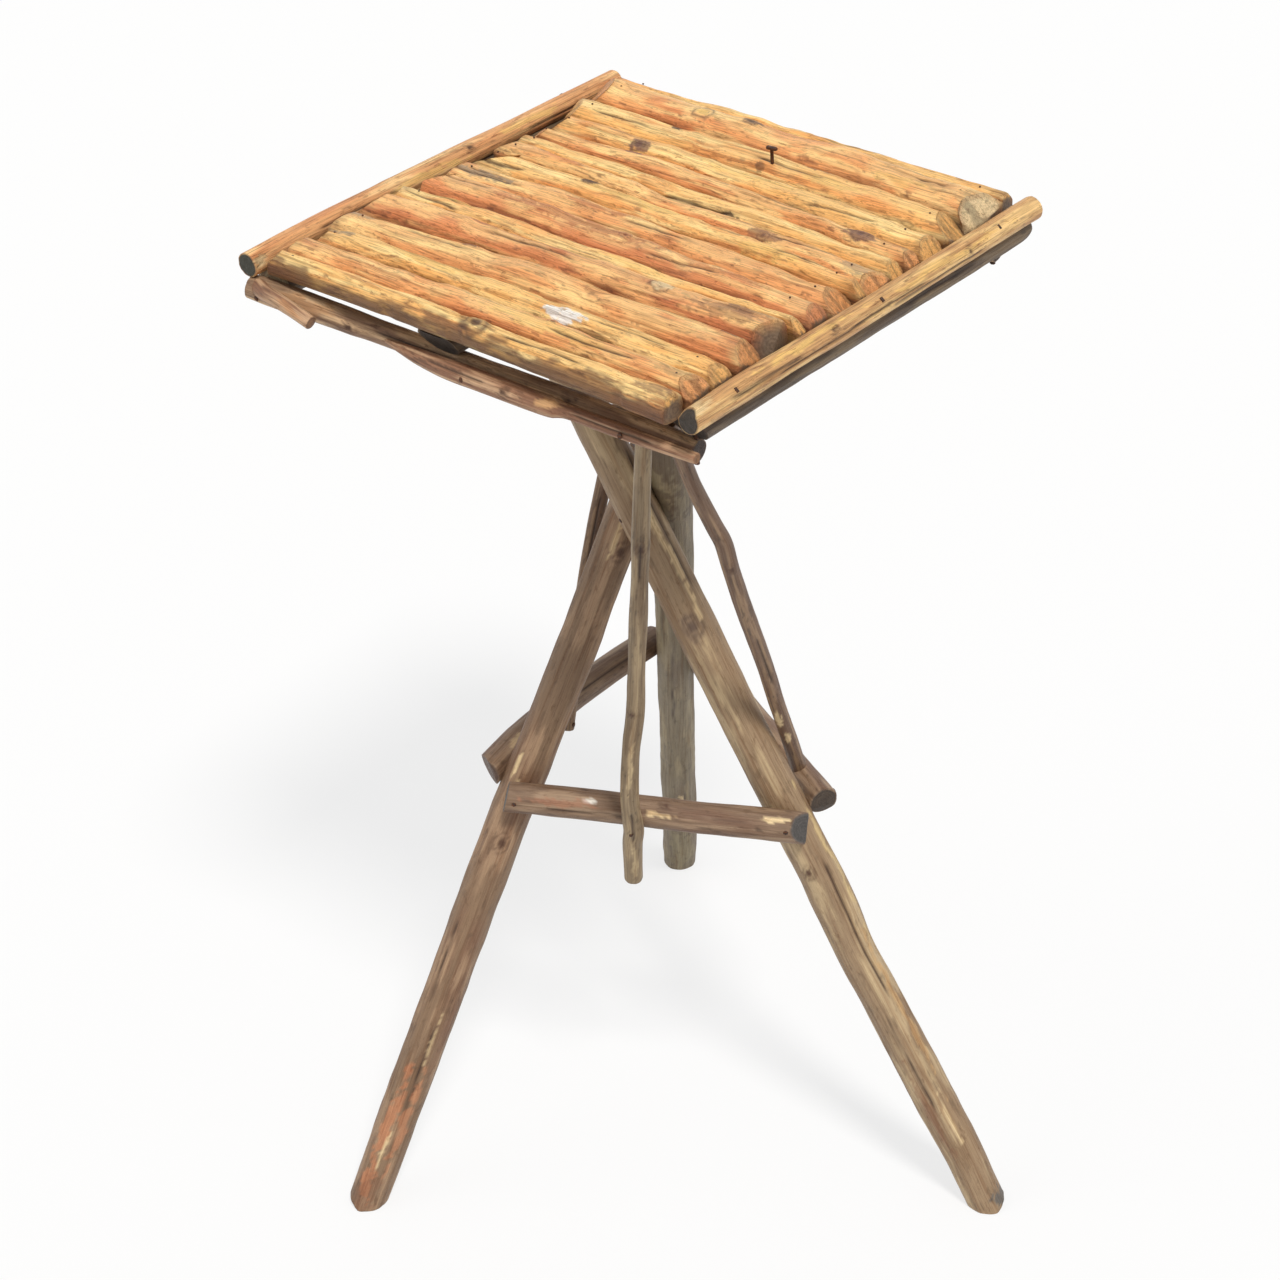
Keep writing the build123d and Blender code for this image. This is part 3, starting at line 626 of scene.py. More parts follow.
class Slat:
    """A split slat while it is shaped. Its arrays run along the slat and then round it."""

    def __init__(self, number):
        self.number, self.seed = number, 100 + number * 13
        self.draws = np.random.default_rng(self.seed)
        self.left, self.right, self.thick = LEFT[number], RIGHT[number], THICK[number]
        self.look = LOOKS[SLAT_LOOKS[number]]
        count = int((self.right - self.left) / SLAT_STEP)
        self.x = np.linspace(self.left, self.right, count)[:, None]
        turn = np.linspace(0, 2 * pi, SLAT_AROUND, endpoint=False)[None, :]
        self.c, self.s = np.cos(turn), np.sin(turn)
        self.upper = self.s + 0 * self.x     # from -1 on the underside to 1 on the crest

    def noise(self, x, y, z, layer):
        return noise(x, y, z, self.seed + layer)

    def section(self):
        """A flat underside and a low round top, between the joints."""
        number, x, s = self.number, self.x, self.s
        gap = 0.45 + 1.1 * smooth(noise(x / 13, number * 1.7, 3, 402), 0.1, 0.8)
        back, front = seam_at(number, x) - gap, seam_at(number + 1, x) + gap
        self.middle = (back + front) / 2
        uneven = 0.08 * noise(x / 48, number, 7, 403) + 0.035 * noise(x / 15, number, 8, 404)
        tall = self.thick * (0.98 + uneven)
        low = tall * LOW_SIDE
        shoulder = np.sign(self.c) * np.abs(self.c) ** np.where(s > 0, 0.86, 0.62)
        self.y = self.middle + (back - front) / 2 * shoulder
        self.z = np.where(s > 0, low + (tall - low) * np.abs(s) ** 0.88, low * (1 - np.abs(s) ** 0.45))

    def peel(self):
        """The lumps and colours of peeled wood, with painted shade toward the joints and a painted highlight
        on the crest.
        """
        x, c, s = self.x, self.c, self.s
        lumps = 0.05 * fractal(x / 34, c * 1.1, s * 1.1, self.seed)
        lumps = self.thick * (lumps + 0.022 * self.noise(x / 60, c * 4, s * 4, 1))
        self.lift = lumps + 0.22 * self.noise(x / 8, c * 7, s * 7, 2)
        unit = np.stack(np.broadcast_arrays(c + 0 * x, self.upper), -1)
        colour = painted(self.look, x + 0 * c, unit * 1.15, self.seed, 1.0)
        # Painted shade: the sides of the slat are darkened down toward the joints, where the neighbours shade
        # them; only the upper part keeps its full colour.
        light = smooth(self.upper, -0.05, 0.6 + 0.2 * self.noise(x / 12, self.number, 9, 12))
        colour = colour * (0.36 + 0.64 * light[..., None])
        if self.number == BARKED:
            ragged = 0.4 * self.noise(x / 9, s * 2.5, 0, 17) + 0.2 * self.noise(x / 5, s * 9, 1, 18)
            colour = blend(colour, srgb(112, 76, 50), smooth(ragged - c, 0.6, 1.0) * 0.75)
        # Painted highlight: a pale yellow band along the crest, where the sun falls strongest.
        crest = smooth(s + 0.25 * self.noise(x / 16, c * 2, self.number, 15), 0.72, 1.0)
        self.colour = blend(colour, LOOKS["yellow"].light, 0.4 * crest)

    def add_knot(self, x, y, size, height):
        d = np.sqrt(((self.x - x) / 1.25) ** 2 + (self.y - y) ** 2) / size
        d = d * (1 + 0.25 * self.noise(self.x / 4, self.y / 4, 0, 5))
        upper = smooth(self.upper, 0.0, 0.3)
        self.lift = self.lift + upper * height * (bell(d / 1.3) - bell(d / 0.5))
        paint = 0.9 * np.exp(-(d / 0.5) ** 6) + 0.7 * bell((d - 1) / 0.16)
        self.colour = blend(self.colour, KNOT, upper * paint)

    def add_mark(self, x, y, long, wide, colour, amount):
        edge = ((self.x - x) / (0.5 * long)) ** 2 + ((self.y - y) / (0.5 * wide)) ** 2
        edge = edge + 0.6 * self.noise(self.x / 6, self.y / 2.2, 0, 6)
        edge = edge + 0.5 * self.noise(self.x / 2.4, self.y, 0, 7)
        inside = (1 - smooth(edge, 0.55, 0.95)) * smooth(self.upper, -0.1, 0.3)
        self.colour = blend(self.colour, colour, inside * amount)

    def add_crack(self, x, y, long):
        line = self.y - y - 0.9 * self.noise(self.x / 22, self.number, 5, 8)
        window = 1 - smooth(np.abs(self.x - x), 0.3 * long, 0.5 * long)
        cut = bell(line / 0.75) * window * smooth(self.upper, 0.1, 0.4)
        self.lift = self.lift - 1.3 * cut
        self.colour = blend(self.colour, DARK, np.clip(1.2 * cut, 0, 1) * 0.85)

    def blemishes(self):
        adds = (self.add_knot, SLAT_KNOTS), (self.add_mark, SLAT_MARKS), (self.add_crack, SLAT_CRACKS)
        for add, rows in adds:
            for number, *row in rows:
                if number == self.number:
                    add(*row)

    def surface(self):
        """Lays the lumps on, except underneath, and wears the ends."""
        x, c, s = self.x, self.c, self.s
        near = np.minimum(x - self.left, self.right - x)
        uneven = 1 + 0.5 * self.noise(c * 3, s * 3, self.number, 9)
        lift = self.lift - 1.2 * (1 - smooth(near, 0.0, 3.0)) * uneven
        lift = lift * smooth(self.upper, -0.55, 0.1)
        reach = 14 + 8 * self.noise(c * 2, s * 2, x / 8, 10)
        self.colour = blend(self.colour, STAIN * 0.8, (1 - smooth(near + 0 * c, 0, reach)) * 0.45)
        rows = np.broadcast_arrays(x + 0 * c, self.y + lift * c, self.z + lift * s + BED)
        self.points = np.stack(rows, -1)
        self.face = np.zeros(self.points.shape[:2])

    def end_rings(self, end, out):
        """The points, colours and face shares of the rings that close one end."""
        edge, c, s = self.points[end], self.c[0], self.s[0]
        centre, rows = edge.mean(0), []
        for share in SLAT_RINGS:
            ring = centre + (edge - centre) * share
            ragged = 0.8 * self.noise(c * 2.5 * share, s * 2.5 * share, share * 2, 11 + end)
            ring[:, 0] += out * (0.5 + 0.6 * (1 - share)) + ragged * (share < 0.9)
            grey = np.full(SLAT_AROUND, min(1, 1.6 * (1 - share) + 0.2))
            tint = blend(self.colour[end], GREY * 0.55 + STAIN * 0.3, grey)
            rows.append((ring, tint, np.full(SLAT_AROUND, 0.3 if share == SLAT_RINGS[0] else 1.0)))
        return [np.stack(values) for values in zip(*rows)]

    def close(self):
        body = self.points, self.colour, self.face
        self.points, self.colour, self.face = with_ends(self.end_rings(0, -1), body, self.end_rings(-1, 1))
        self.tips = np.stack([self.points[0].mean(0), self.points[-1].mean(0)])

    def hew(self, end, way, cut):
        """Paints and chips the torn facet that a slanting cut leaves."""
        x, y, z = np.moveaxis(self.points, -1, 0)
        over = ((self.points - np.array(cut[0])) * np.array(cut[1])).sum(-1) / np.linalg.norm(cut[1])
        facet = smooth(over + 0.6 * self.noise(x / 3, y / 2, 0, 13), 0.2, 0.7)
        pale = end == -1 and self.number == PALE_END
        fresh = PALE * 0.9 if pale else self.look.plain * 0.86
        tear = 1 - 0.45 * smooth(self.noise(x / 6, y / 1.3, 0, 14), 0.0, 0.5)
        sawn = smooth(self.face, 0.1, 0.5)
        share = facet * np.maximum(sawn, 0.6 if pale else 0.3)
        self.colour = blend(self.colour, fresh * tear[..., None], share)
        self.colour = blend(self.colour, DARK, 0.2 * bell((over - 0.1) / 0.3))
        self.face = self.face * (1 - 0.97 * facet)
        chips = 1.0 + self.noise(y / 2.2, z / 3, self.number, 16 + end)
        self.points[..., 0] -= way * facet * (1 - sawn) * 0.9 * chips

    def hewn_ends(self):
        """Hews both ends, and gives the planes that they are cut to."""
        tilt = self.draws.uniform(-0.45, 0.45, 2)
        cuts = []
        for end, way, edge, hewn in ((0, -1, self.left, LEFT_HEWN), (-1, 1, self.right, RIGHT_HEWN)):
            drawn = self.draws.uniform(0.7, 1.5), self.draws.uniform(0.34, 0.6)
            slope, leaves = hewn.get(self.number, drawn)
            y = self.middle[end, 0]
            slant = ((edge, y, BED + self.thick * leaves), (way * slope, tilt[end], 1.0))
            upright = ((edge, y, BED), (way, 0.3 * tilt[end], 0.0))
            cuts += [slant, upright]
            self.hew(end, way, slant)
        return cuts + SLAT_CUTS.get(self.number, [])

    def finish(self):
        cuts = self.hewn_ends()
        along = np.array((1.0, 0, 0))
        clip_ends(self.points, self.tips, along + 0 * self.points, along + 0 * self.tips, cuts)
        self.points[..., 2] = np.maximum(self.points[..., 2], BED)
        pith = np.array([-self.seed * 7.0, self.middle.mean(), BED + 0.4 * self.thick])
        data = {"tone": self.colour, "grain": self.points - pith, "endface": self.face}
        name = f"slat_{self.number + 1:02}"
        piece = capped(f"split_{name}", self.points, data, MATERIALS["slat_wood"], self.tips)
        ride(piece, [name])


for number in range(len(THICK)):
    slat = Slat(number)
    slat.section()
    slat.peel()
    slat.blemishes()
    slat.surface()
    slat.close()
    slat.finish()


# ---- legs

# A leg's foot and how far it leans in x and y for each millimetre of height
LEG_A = ((-85.1, -222.0), (0.1408, 0.4505))
LEG_B = ((252.0, 38.0), (-0.5035, -0.1120))
LEG_C = ((-147.9, 202.1), (0.3195, -0.3947))
# Planes: a point on the plane and the way it faces
FLOOR = ((0, 0, 0), (0, 0, -1))
UNDER = ((0, 0, BED), (0, 0, 1))


def leg(name, line, stations, wood_look, slot, marks, seed, cuts):
    """stations are height, radius, and how far the stick wanders from straight in x and y."""
    foot, lean = line
    rows = [(foot[0] + lean[0] * z + dx, foot[1] + lean[1] * z + dy, z, radius)
            for z, radius, dx, dy in stations]
    stick(name, rows, wood_look, slot, marks, seed, around=56, cuts=cuts, streaky=0.5)


leg("leg_left", LEG_A, [
    (-12, 12.9, -0.6, -0.5), (30, 13.6, -1.3, -1.1), (110, 13.8, -1.5, -1.2),
    (200, 13.7, -1.2, -1.0), (290, 13.5, -0.6, -0.5), (350, 13.3, 1.0, 0.8),
    (400, 13.1, 1.7, 1.4), (460, 12.8, 1.9, 1.6), (517, 12.4, 1.5, 1.3)],
    "leg_a", "reddish_leg_wood", [
        knot(305, 8, 4.5, 0.8), flat(360, -35, 22, 4, 0.6), mark(345, -12, 16, 3, PALE, 0.6),
        knot(520, 22, 3.8, 0.6), mark(528, -8, 34, 3, PALE, 0.6), crack(120, 15, 90), crack(210, -30, 70),
        mark(70, -20, 130, 9, srgb(186, 122, 84), 0.7), mark(90, 25, 90, 7, srgb(190, 128, 90), 0.6),
        mark(60, -5, 36, 2.5, PALE, 0.6), mark(150, 20, 44, 2.5, PALE, 0.5), mark(20, 0, 40, 14, STAIN, 0.4)],
    11, [FLOOR, ((-91.1, -227, 0), (-0.6, -0.5, -0.8))])
leg("leg_right", LEG_B, [
    (-12, 13.0, 0.5, 0.4), (10, 13.2, 0.9, 0.7), (40, 13.6, 1.5, 1.3), (70, 13.8, 0.7, 0.6),
    (100, 14.0, -0.1, -0.1), (130, 14.0, -0.5, -0.4), (160, 13.9, -0.8, -0.7), (190, 13.7, -1.6, -1.4),
    (220, 14.0, -0.6, -0.5), (250, 14.2, -0.1, 0), (300, 14.0, -0.7, -0.6), (360, 13.6, -1.3, -1.1),
    (425, 14.0, -1.0, -0.8), (470, 13.4, -0.6, -0.5), (540, 13.0, 0, 0), (600, 12.6, 0, 0),
    (684, 12.2, 0, 0)],
    "leg_b", "yellow_leg_wood", [
        knot(488, -8, 5.5, 0.9, srgb(74, 58, 48)), mark(488, -8, 22, 13, srgb(118, 96, 80), 0.5),
        crack(560, 45, 110, 1.0, 1.2), mark(540, 25, 110, 5, PALE, 0.6), crack(250, 20, 120),
        # The long pale streaks at 55 and 40 degrees, down the right side, are a painted highlight of the lit
        # edge.
        crack(140, -15, 90), knot(300, -30, 3.6, 0.6), mark(300, 55, 110, 6, srgb(206, 180, 128), 0.7),
        mark(180, 40, 130, 6, srgb(196, 158, 108), 0.6), mark(90, 10, 50, 3, PALE, 0.5),
        mark(100, -30, 90, 7, STAIN, 0.5), mark(14, 60, 22, 22, srgb(88, 86, 84), 0.85)],
    12, [FLOOR, UNDER, ((258, 43, 0), (0.6, 0.5, -0.8))])
leg("leg_rear", LEG_C, [
    (-12, 12.1, 0.2, 0), (30, 12.8, 0.9, 0.7), (120, 13.0, 0.9, 0.7), (200, 12.8, 0.5, 0.4),
    (260, 12.9, 0.7, 0.6), (400, 12.9, 0.6, 0.5), (500, 13.0, 0.4, 0.3), (600, 12.8, 0, 0),
    (684, 12.5, 0, 0)],
    "leg_c", "grey_leg_wood", [
        mark(150, 10, 22, 5, PALE, 0.6), crack(330, -10, 120), knot(420, 20, 3.6, 0.7), crack(130, 20, 70),
        mark(60, 0, 80, 20, srgb(142, 130, 96), 0.5), mark(500, -20, 90, 8, srgb(120, 108, 80), 0.6),
        # Painted shade: the upper end of the leg, in the table's shadow, is darkened by this broad mark.
        mark(690, 0, 260, 60, srgb(84, 66, 48), 0.7)],
    13, [FLOOR, UNDER])


# ---- stretchers and braces

stick("front_stretcher", [
    (-41.9, -112.5, 304.8, 9.8), (0, -86.5, 303, 10.3), (60, -49, 298.3, 10.3), (128, -6.4, 293.0, 10.4)],
    "stretcher", "stretcher_wood", [
        flat(60, -15, 9, 5, 0.4, WHITE, 1.0), mark(108, 10, 22, 4, PALE, 0.9),
        flat(182, -20, 20, 5, 0.5, PALE, 0.9), crack(60, 30, 60), knot(110, -30, 3, 0.6),
        mark(40, 0, 50, 6, srgb(164, 112, 84), 0.6)],
    seed=21, sawn=(84, 80, 78),
    cuts=[((126.5, -7.3, 294.5), (0.9, -0.05, 0.3)), ((-37.5, -109.8, 303.9), (-0.8, -0.6, 0.25))])
stick("right_stretcher", [
    (120.2, 23.1, 293.9, 9.8), (60, 53.5, 293, 10.2), (0, 84, 292, 9.8), (-58.2, 113.5, 291.4, 9.8)],
    "stretcher", "stretcher_wood", [crack(60, -20, 70), mark(30, -40, 40, 4, PALE, 0.4)],
    seed=22, sawn=(80, 66, 54), cuts=[((122, 22, 293.9), (0.9, -0.5, -0.45))])
stick("left_stretcher", [
    (-72.2, 86.9, 308.1, 10.2), (-74.0, 40, 308.6, 10.4), (-74.2, -3, 307.6, 10.6),
    (-71, -55, 306.6, 10.6), (-64.0, -99, 305.8, 10.4)],
    "stretcher", "stretcher_wood", [crack(60, -10, 60), mark(150, 0, 30, 10, PALE, 0.4)],
    seed=23, sawn=(100, 74, 58), cuts=[((-65.0, -94.8, 305.6), (-0.5, -1, -0.25))])

stick("front_brace", [
    (32.8, -67.2, 245.8, 6.2), (38.2, -73.4, 279, 6.4), (41.5, -75.8, 295, 6.6), (43.6, -81, 318, 5.9),
    (48.1, -85.9, 343, 5.8), (54.4, -91, 375, 5.7), (62, -95, 407, 5.8), (69.5, -101.6, 445, 5.4),
    (77.5, -108.1, 487, 5.6), (85, -114.5, 525, 5.0), (91.5, -120.1, 560, 5.4), (108, -134.2, 648, 4.4)],
    "brace", "brace_wood", [
        crack(58, -5, 32, 0.9, 1.2), knot(314, 5, 3.6, 0.9), crack(304, 0, 34, 0.8, 1.0),
        knot(170, -20, 2.6, 0.5), mark(120, 0, 60, 4, PALE, 0.4), mark(20, 10, 40, 4, PALE, 0.3)],
    seed=31, around=36, sawn=(110, 92, 68))
stick("right_brace", [
    (90, 38.4, 295, 5.4), (94.6, 21.4, 330, 5.2), (100, -1.5, 378, 5.3), (105.2, -21.2, 420, 5.2),
    (110.9, -48.9, 477, 5.3), (115.8, -68.8, 519, 5.2), (118.9, -79.3, 542, 5.4),
    (119.2, -89.6, 561, 5.2), (120.6, -110.6, 600, 4.6), (124.8, -133.9, 648, 4.4)],
    "brace_dark", "brace_wood", [
        mark(80, -20, 22, 5, PALE, 0.7), mark(56, -15, 20, 5, PALE, 0.6), knot(255, 0, 3, 0.8),
        crack(150, 10, 60)],
    seed=32, around=36, sawn=(96, 70, 50))
stick("left_brace", [
    (-59.3, -23.2, 300.8, 5.0), (-58.4, -19.6, 322, 5.0), (-51.2, -3.2, 430, 5.2),
    (-42.6, 21.6, 530, 5.0), (-38.6, 37.2, 600, 4.8), (-39.5, 46, 662, 4.8)],
    "brace_dark", "brace_wood", [crack(150, 0, 60), knot(240, 20, 3, 0.6)],
    seed=33, around=36, sawn=(96, 70, 50))


# ---- rails, branch and bearers

stick("left_edge_rail", [
    (-156.6, -172, 674.6, 7.3), (-158, -110, 675.4, 7.7), (-159.4, -30, 675, 7.7),
    (-160.5, 60, 674.8, 7.2), (-162, 167, 675, 7.0)],
    "rail_left", "rail_wood", [
        flat(5, 10, 12, 9, 1.6, srgb(206, 184, 140), 0.8), crack(90, 10, 80), knot(190, -20, 3.2, 0.7),
        mark(150, 10, 90, 5, YELLOW, 0.6), mark(250, -15, 70, 5, YELLOW, 0.6), crack(270, 30, 60),
        # Painted shade: the two long dark bands low on the inner side run where the rail meets the bearer and
        # the slat ends.
        mark(170, 78, 330, 6, DARK, 0.5), mark(60, 70, 90, 5, DARK, 0.4)],
    seed=41, sawn=(62, 60, 46))
stick("right_edge_rail", [
    (162.8, -164.5, 674.5, 6.9), (163, -110, 675, 7.3), (163.8, -20, 674.5, 7.2),
    (165, 70, 674.8, 7.2), (166, 160.5, 674.9, 7.4)],
    "rail", "rail_wood", [
        mark(8, -35, 22, 11, srgb(226, 196, 146), 0.9), crack(60, 20, 70), knot(120, -10, 3.2, 0.8),
        crack(170, 30, 80), mark(100, -20, 100, 5, YELLOW, 0.7), mark(230, 0, 120, 5, YELLOW, 0.6),
        knot(250, 20, 3, 0.6), crack(110, 40, 90), crack(220, 50, 100)],
    seed=42, sawn=(64, 54, 44), cuts=[((162, -163.5, 678), (-0.35, -1, 1.1))])

stick("front_rail", [
    (-157, -170.5, 660.2, 7.4), (-140, -166.5, 657.9, 8.0), (-100, -157.5, 652.6, 7.6),
    (-60, -149.3, 647.3, 7.0), (0, -147.4, 646.2, 6.8), (80, -146.6, 646, 7.8), (154, -145.5, 646, 6.6)],
    "under", "rail_wood", [
        mark(40, 0, 50, 8, srgb(190, 140, 92), 0.5), crack(120, 10, 70), knot(70, 30, 3.5, 0.8),
        knot(230, 0, 4, 0.8)],
    seed=43, sawn=(70, 50, 38))
stick("front_rail_stub", [
    (-153, -169.6, 661.6, 5.2), (-140, -175.5, 663.2, 4.9), (-127, -178.6, 663.6, 4.5),
    (-113, -179, 660.8, 4.3), (-101, -178.6, 657.1, 4.2)],
    "branch", "rail_wood", [mark(40, 0, 22, 5, srgb(196, 140, 92), 0.6)],
    seed=44, nodes=["front_rail"], around=32, sawn=(150, 110, 78))
stick("back_rail", [
    (-157, 147.5, 646, 7.8), (-60, 148.5, 646, 8.1), (60, 149.5, 646, 7.9), (149.5, 150.5, 646.5, 7.2)],
    "under", "rail_wood", [crack(120, 170, 80), knot(210, 160, 4, 0.8)],
    seed=45, sawn=(90, 66, 48))

# The branch lies against the front of the front rail. Its stations are x and radius
BRANCH = ((-62, 1.6), (-48, 3.2), (-34, 4.6), (-14, 5.7), (10, 6.0), (48, 6.0), (64, 5.7),
          (70, 4.6), (78, 4.1), (110, 4.0), (161, 3.2))
stick("front_branch", [
    (x, np.interp(x, (-60, 165), (-148.5, -145.5)) - (7.4 + radius), 648.5, radius) for x, radius in BRANCH],
    "branch", "branch_wood", [
        crack(60, 0, 50, 0.6, 0.8), mark(125, -10, 16, 7, srgb(206, 160, 110), 0.8), crack(170, 10, 60),
        knot(96, 15, 2.6, 0.5)],
    seed=46, around=36, sawn=(150, 108, 74))


def bearer(name, rows, width, seed, sawn, cuts=()):
    """A wide stick under the slats, planed on top. cuts hew its front away below."""
    marks = [crack(100, -80, 90), crack(220, 80, 80), knot(160, -90, 4, 0.6)]
    rows = [(x, y, 662, radius) for x, y, radius in rows]
    stick(name, rows, "bearer", "bearer_wood", marks, seed, facing="up", squash=(width, 1.0),
          flats=[UNDER], cuts=cuts, sawn=sawn)


# The left bearer's pale end faces are painted sunlight; the other two bearers keep dark end faces.
bearer("left_bearer", [(-147.8, -161.5, 10), (-148.8, 0, 10), (-149.8, 159.5, 10)],
       1.3, 51, (196, 176, 140))
bearer("middle_bearer", [(-20, -164.5, 10), (-20, 0, 10), (-20, 159.5, 10)],
       1.4, 52, (62, 52, 44), [((0, -163.5, BED), (0, -1, -0.7))])
bearer("right_bearer", [(152, -156.5, 9.4), (153.4, 0, 9.8), (154.8, 140, 10.3), (154.8, 159.5, 9.6)],
       1.25, 53, (54, 44, 36), [((0, -155.5, BED), (0, -1, -0.7))])


# ---- nails

HEAD_SIDES = 14
# The rings of a nail's head: width against its radius, height against the dome's
HEAD_RINGS = ((0.7, -1.6), (0.98, -0.6), (1.0, 0.0), (0.92, 0.62), (0.7, 0.86), (0.4, 0.98))


def dome(point, way, radius, height, seed):
    """A hammered nail head: a low dome, dented and not quite round."""
    point, way = np.array(point, float), np.array(way, float)
    way /= np.linalg.norm(way)
    across = np.cross(way, (0.31, 0.87, 0.38))
    across /= np.linalg.norm(across)
    angles = np.linspace(0, 2 * pi, HEAD_SIDES, endpoint=False)
    circle = np.cos(angles)[:, None] * across + np.sin(angles)[:, None] * np.cross(way, across)
    wobble = 1 + 0.09 * noise(np.cos(angles) * 1.3, np.sin(angles) * 1.3, 0, seed)
    rings = [point + way * height * lift + radius * share * wobble[:, None] * circle
             for share, lift in HEAD_RINGS]
    return np.stack(rings), point + way * height * np.array([[-1.6], [0.9]])


def heads(name, spots, radius, height):
    """A nail head at each spot: the point, and the way the head faces."""
    verts, faces = [], []
    for number, (point, way) in enumerate(spots):
        rings, tips = dome(point, way, radius, height, number + 7)
        faces += skin_faces(*rings.shape[:2], base=len(verts))
        verts += [*rings.reshape(-1, 3), *tips]
    ride(build(name, verts, faces, {}, MATERIALS["nail_iron"]), [])


def driven(*joints):
    """Spots of nails, from the outer stick's middle, its diameter and the inner one's middle."""
    spots = []
    for outer, dia, inner in joints:
        way = np.array(outer, float) - np.array(inner, float)
        way /= np.linalg.norm(way)
        spots.append((np.array(outer) + way * dia / 2, way))
    return spots


def slat_nail(number, x):
    """A small head on the crest of a slat, over a bearer."""
    place = np.array(float(x))
    y = (seam_at(number, place) + seam_at(number + 1, place)) / 2
    point = (x + 1.5 * noise(number * 1.7, x, 0, 90), y + 1.5 * noise(number * 2.3, x, 1, 90),
             BED + THICK[number] * 0.985)
    return point, (0.05, 0.02, 1)


heads("slat_nail_heads", [slat_nail(number, x) for number in range(len(THICK)) for x in (-128, 136)],
      0.65, 0.35)
heads("edge_rail_nail_heads", driven(*(
    ((rail, y, 674.5), 14.5, (under, y, 662)) for rail, under, y in (
        (-161.4, -149.5, 118), (-159.3, -148.8, 1), (-157, -147.9, -130),
        (165.4, 154.6, 118), (164.3, 153.8, 1), (163.1, 153, -130)))), 1.1, 0.5)
heads("rail_nail_heads", driven(
    ((-147.8, -168.4, 658.8), 16, (-147.8, -151.5, 662)), ((-149.7, 149.5, 646), 16, (-149.7, 149.5, 662)),
    ((-20, -147.9, 646), 16, (-20, -147.9, 662)), ((-20, 149.5, 646), 16, (-20, 149.5, 662)),
    ((152.8, -145.5, 646), 16, (152.9, -145.5, 662)), ((147.7, 149.5, 646), 16, (147.7, 149.5, 662)),
    ((3.5, -160.6, 648), 12, (3.5, -147.6, 646)), ((113.5, -158.1, 648), 8, (113.5, -146.1, 646))), 1.5, 0.7)
# The last three of these are at the crossing of the legs
heads("stretcher_nail_heads", driven(
    ((-31.7, -106.1, 303.4), 20, (-43.3, -88.2, 297)), ((117.3, -13.1, 294.9), 20, (105.5, 5.4, 291)),
    ((117.1, 24.7, 293.9), 20, (107.5, 5.8, 287)), ((-46.6, 107.7, 291.4), 20, (-56.2, 88.9, 287)),
    ((-72, 81.9, 308.1), 20, (-51.4, 83, 302)), ((-64.5, -87.1, 305.6), 20, (-42.6, -86, 302)),
    ((-15.6, 0.4, 493.6), 27.5, (0.4, -18, 499.6)), ((3.9, -17.2, 492.7), 27.5, (11.6, 5.2, 499.1)),
    ((9.5, 7.7, 492.7), 26, (-14.9, 2.5, 498.4))), 1.5, 0.7)
heads("brace_nail_heads", driven(
    ((40.9, -76.7, 295.9), 12, (33.8, -65.2, 299.7)), ((-59.1, -22.5, 305.1), 10, (-73, -23.2, 306.6)),
    ((108, -134.2, 646), 10, (108, -146.2, 646)), ((124.8, -133.9, 646), 10, (124.8, -145.9, 646)),
    ((-39.5, 46, 662), 10, (-20, 46, 662))), 1.3, 0.6)


def proud_nail():
    """A cut nail that stands out of the third slat, bent a little, with its T head."""
    foot = np.array((20.0, 98.6, 677.0))
    turn = np.linspace(0, 2 * pi, 16, endpoint=False)
    across = np.sign(np.cos(turn)) * np.abs(np.cos(turn)) ** 0.5
    deep = np.sign(np.sin(turn)) * np.abs(np.sin(turn)) ** 0.5
    rings = []
    # height, half width, half depth and how far it leans
    for z, half_wide, half_deep, lean in (
            (0, 0.9, 0.9, 0), (8, 0.95, 0.95, 0.1), (14, 0.9, 0.9, 0.5), (19.4, 0.9, 0.9, 0.9),
            (19.6, 3.9, 1.35, 0.9), (21.0, 4.0, 1.4, 1.0), (21.5, 3.4, 1.0, 1.0)):
        x, y = half_wide * across, half_deep * deep
        ring = np.stack([x - 0.3 * lean, y - 0.5 * lean, z + 0.05 * x], 1)
        rings.append(foot + ring)
    tips = np.stack([rings[0].mean(0), rings[-1].mean(0)])
    piece = capped("proud_nail_shank", np.stack(rings), {}, MATERIALS["nail_iron"], tips)
    ride(piece, ["proud_nail"])


proud_nail()
for joint in ("edge_rail", "bearer", "branch", "hub", "stretcher", "brace"):
    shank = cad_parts[f"{joint}_nails"]
    shank.data.materials.clear()
    shank.data.materials.append(MATERIALS["nail_iron"])


# ---- floor, light and camera

def white_to_camera(graph, amount, lit, plain):
    """Mixes plain white into what the camera, mirrors and glass see."""
    rays = graph.made("LightPath").outputs
    seen = graph.math("MAXIMUM", rays["Is Camera Ray"], rays["Is Glossy Ray"])
    seen = graph.math("MAXIMUM", seen, rays["Is Transmission Ray"])
    share = graph.math("MULTIPLY", seen, amount)
    return graph.made("MixShader", {0: share, 1: lit, 2: plain}).outputs[0]


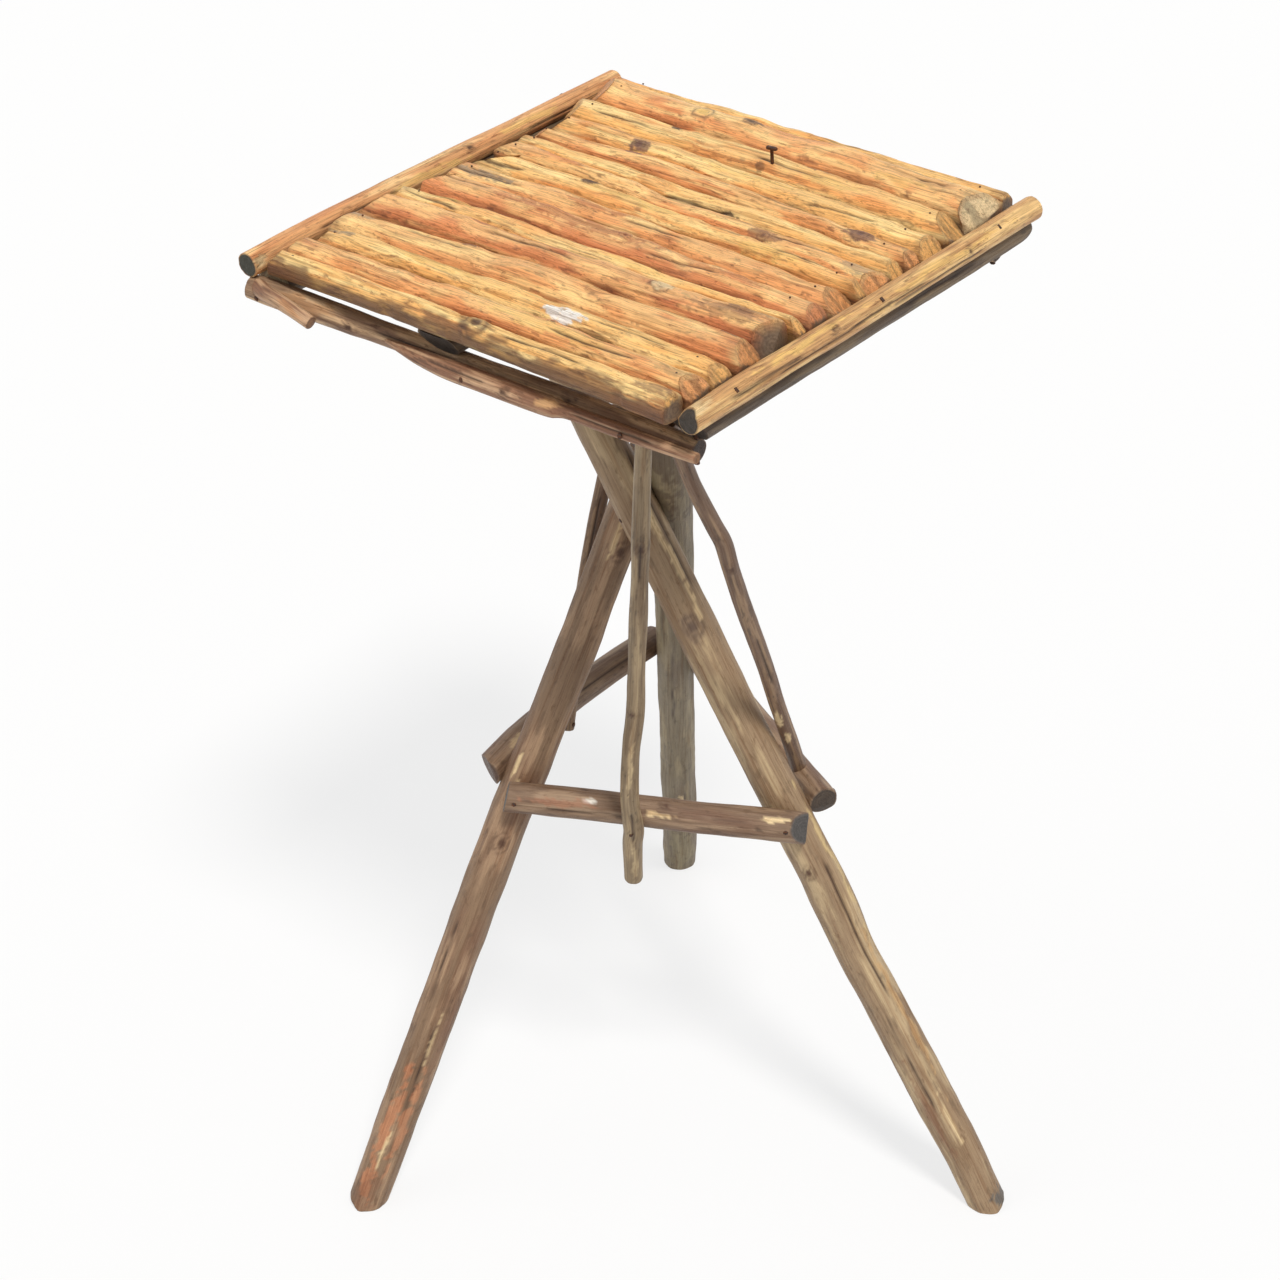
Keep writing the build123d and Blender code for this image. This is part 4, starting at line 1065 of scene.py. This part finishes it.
def lay_floor():
    """White paper just under the feet, which keeps the table's shadow."""
    mesh = bpy.data.meshes.new("floor")
    reach = 12
    corners = [(-reach, -reach, 0), (reach, -reach, 0), (reach, reach, 0), (-reach, reach, 0)]
    mesh.from_pydata(corners, [], [(0, 1, 2, 3)])
    floor = bpy.data.objects.new("floor", mesh)
    bpy.context.scene.collection.objects.link(floor)
    floor.location.z = -0.0005
    paper = bpy.data.materials.new("paper")
    graph = Graph(paper)
    diffuse = graph["Principled BSDF"]
    diffuse.inputs["Base Color"].default_value = (0.82, 0.82, 0.82, 1)
    diffuse.inputs["Roughness"].default_value = 1
    diffuse.inputs["Specular IOR Level"].default_value = 0
    white = graph.made("Emission", {"Color": (1, 1, 1)}).outputs[0]
    surface = white_to_camera(graph, 0.72, diffuse.outputs[0], white)
    graph.feed(graph["Material Output"].inputs["Surface"], surface)
    mesh.materials.append(paper)


def light_world():
    """An even pale sky that the camera sees as plain white."""
    world = bpy.data.worlds.new("studio")
    bpy.context.scene.world = world
    graph = Graph(world)
    sky = graph["Background"]
    sky.inputs["Color"].default_value = (0.97, 0.985, 1.0, 1)
    sky.inputs["Strength"].default_value = 0.5
    white = graph.made("Background", {"Color": (1, 1, 1)}).outputs[0]
    surface = white_to_camera(graph, 1.0, sky.outputs[0], white)
    graph.feed(graph["World Output"].inputs["Surface"], surface)


def sun(name, azimuth, elevation, strength, angle):
    """A warm sun in the direction given in degrees, as wide as the angle."""
    lamp = bpy.data.lights.new(name, "SUN")
    lamp.energy = strength
    lamp.angle = radians(angle)
    lamp.color = (1.0, 0.975, 0.94)
    holder = bpy.data.objects.new(name, lamp)
    bpy.context.scene.collection.objects.link(holder)
    a, e = radians(azimuth), radians(elevation)
    way = Vector((cos(e) * sin(a), -cos(e) * cos(a), sin(e)))
    holder.rotation_euler = way.to_track_quat("Z", "Y").to_euler()


def aim_camera():
    """The photo's camera, turned a little about its own line of sight."""
    eye = Vector((CAMERA + TOP) / 1000)
    forward = (Vector((TARGET + TOP) / 1000) - eye).normalized()
    level = forward.cross(Vector((0, 0, 1))).normalized()
    rise = level.cross(forward)
    roll = radians(-1.609)
    right = level * cos(roll) + rise * sin(roll)
    top = rise * cos(roll) - level * sin(roll)
    data = bpy.data.cameras.new("camera")
    data.lens = 74.19
    data.sensor_width = 36
    camera = bpy.data.objects.new("camera", data)
    bpy.context.scene.collection.objects.link(camera)
    turn = Matrix((right, top, -forward)).transposed().to_4x4()
    camera.matrix_world = Matrix.Translation(eye) @ turn
    bpy.context.scene.camera = camera


lay_floor()
light_world()
sun("key", 62, 60, 2.3, 12)
sun("fill", -40, 35, 0.35, 40)
aim_camera()
bpy.context.scene.view_settings.view_transform = "Standard"
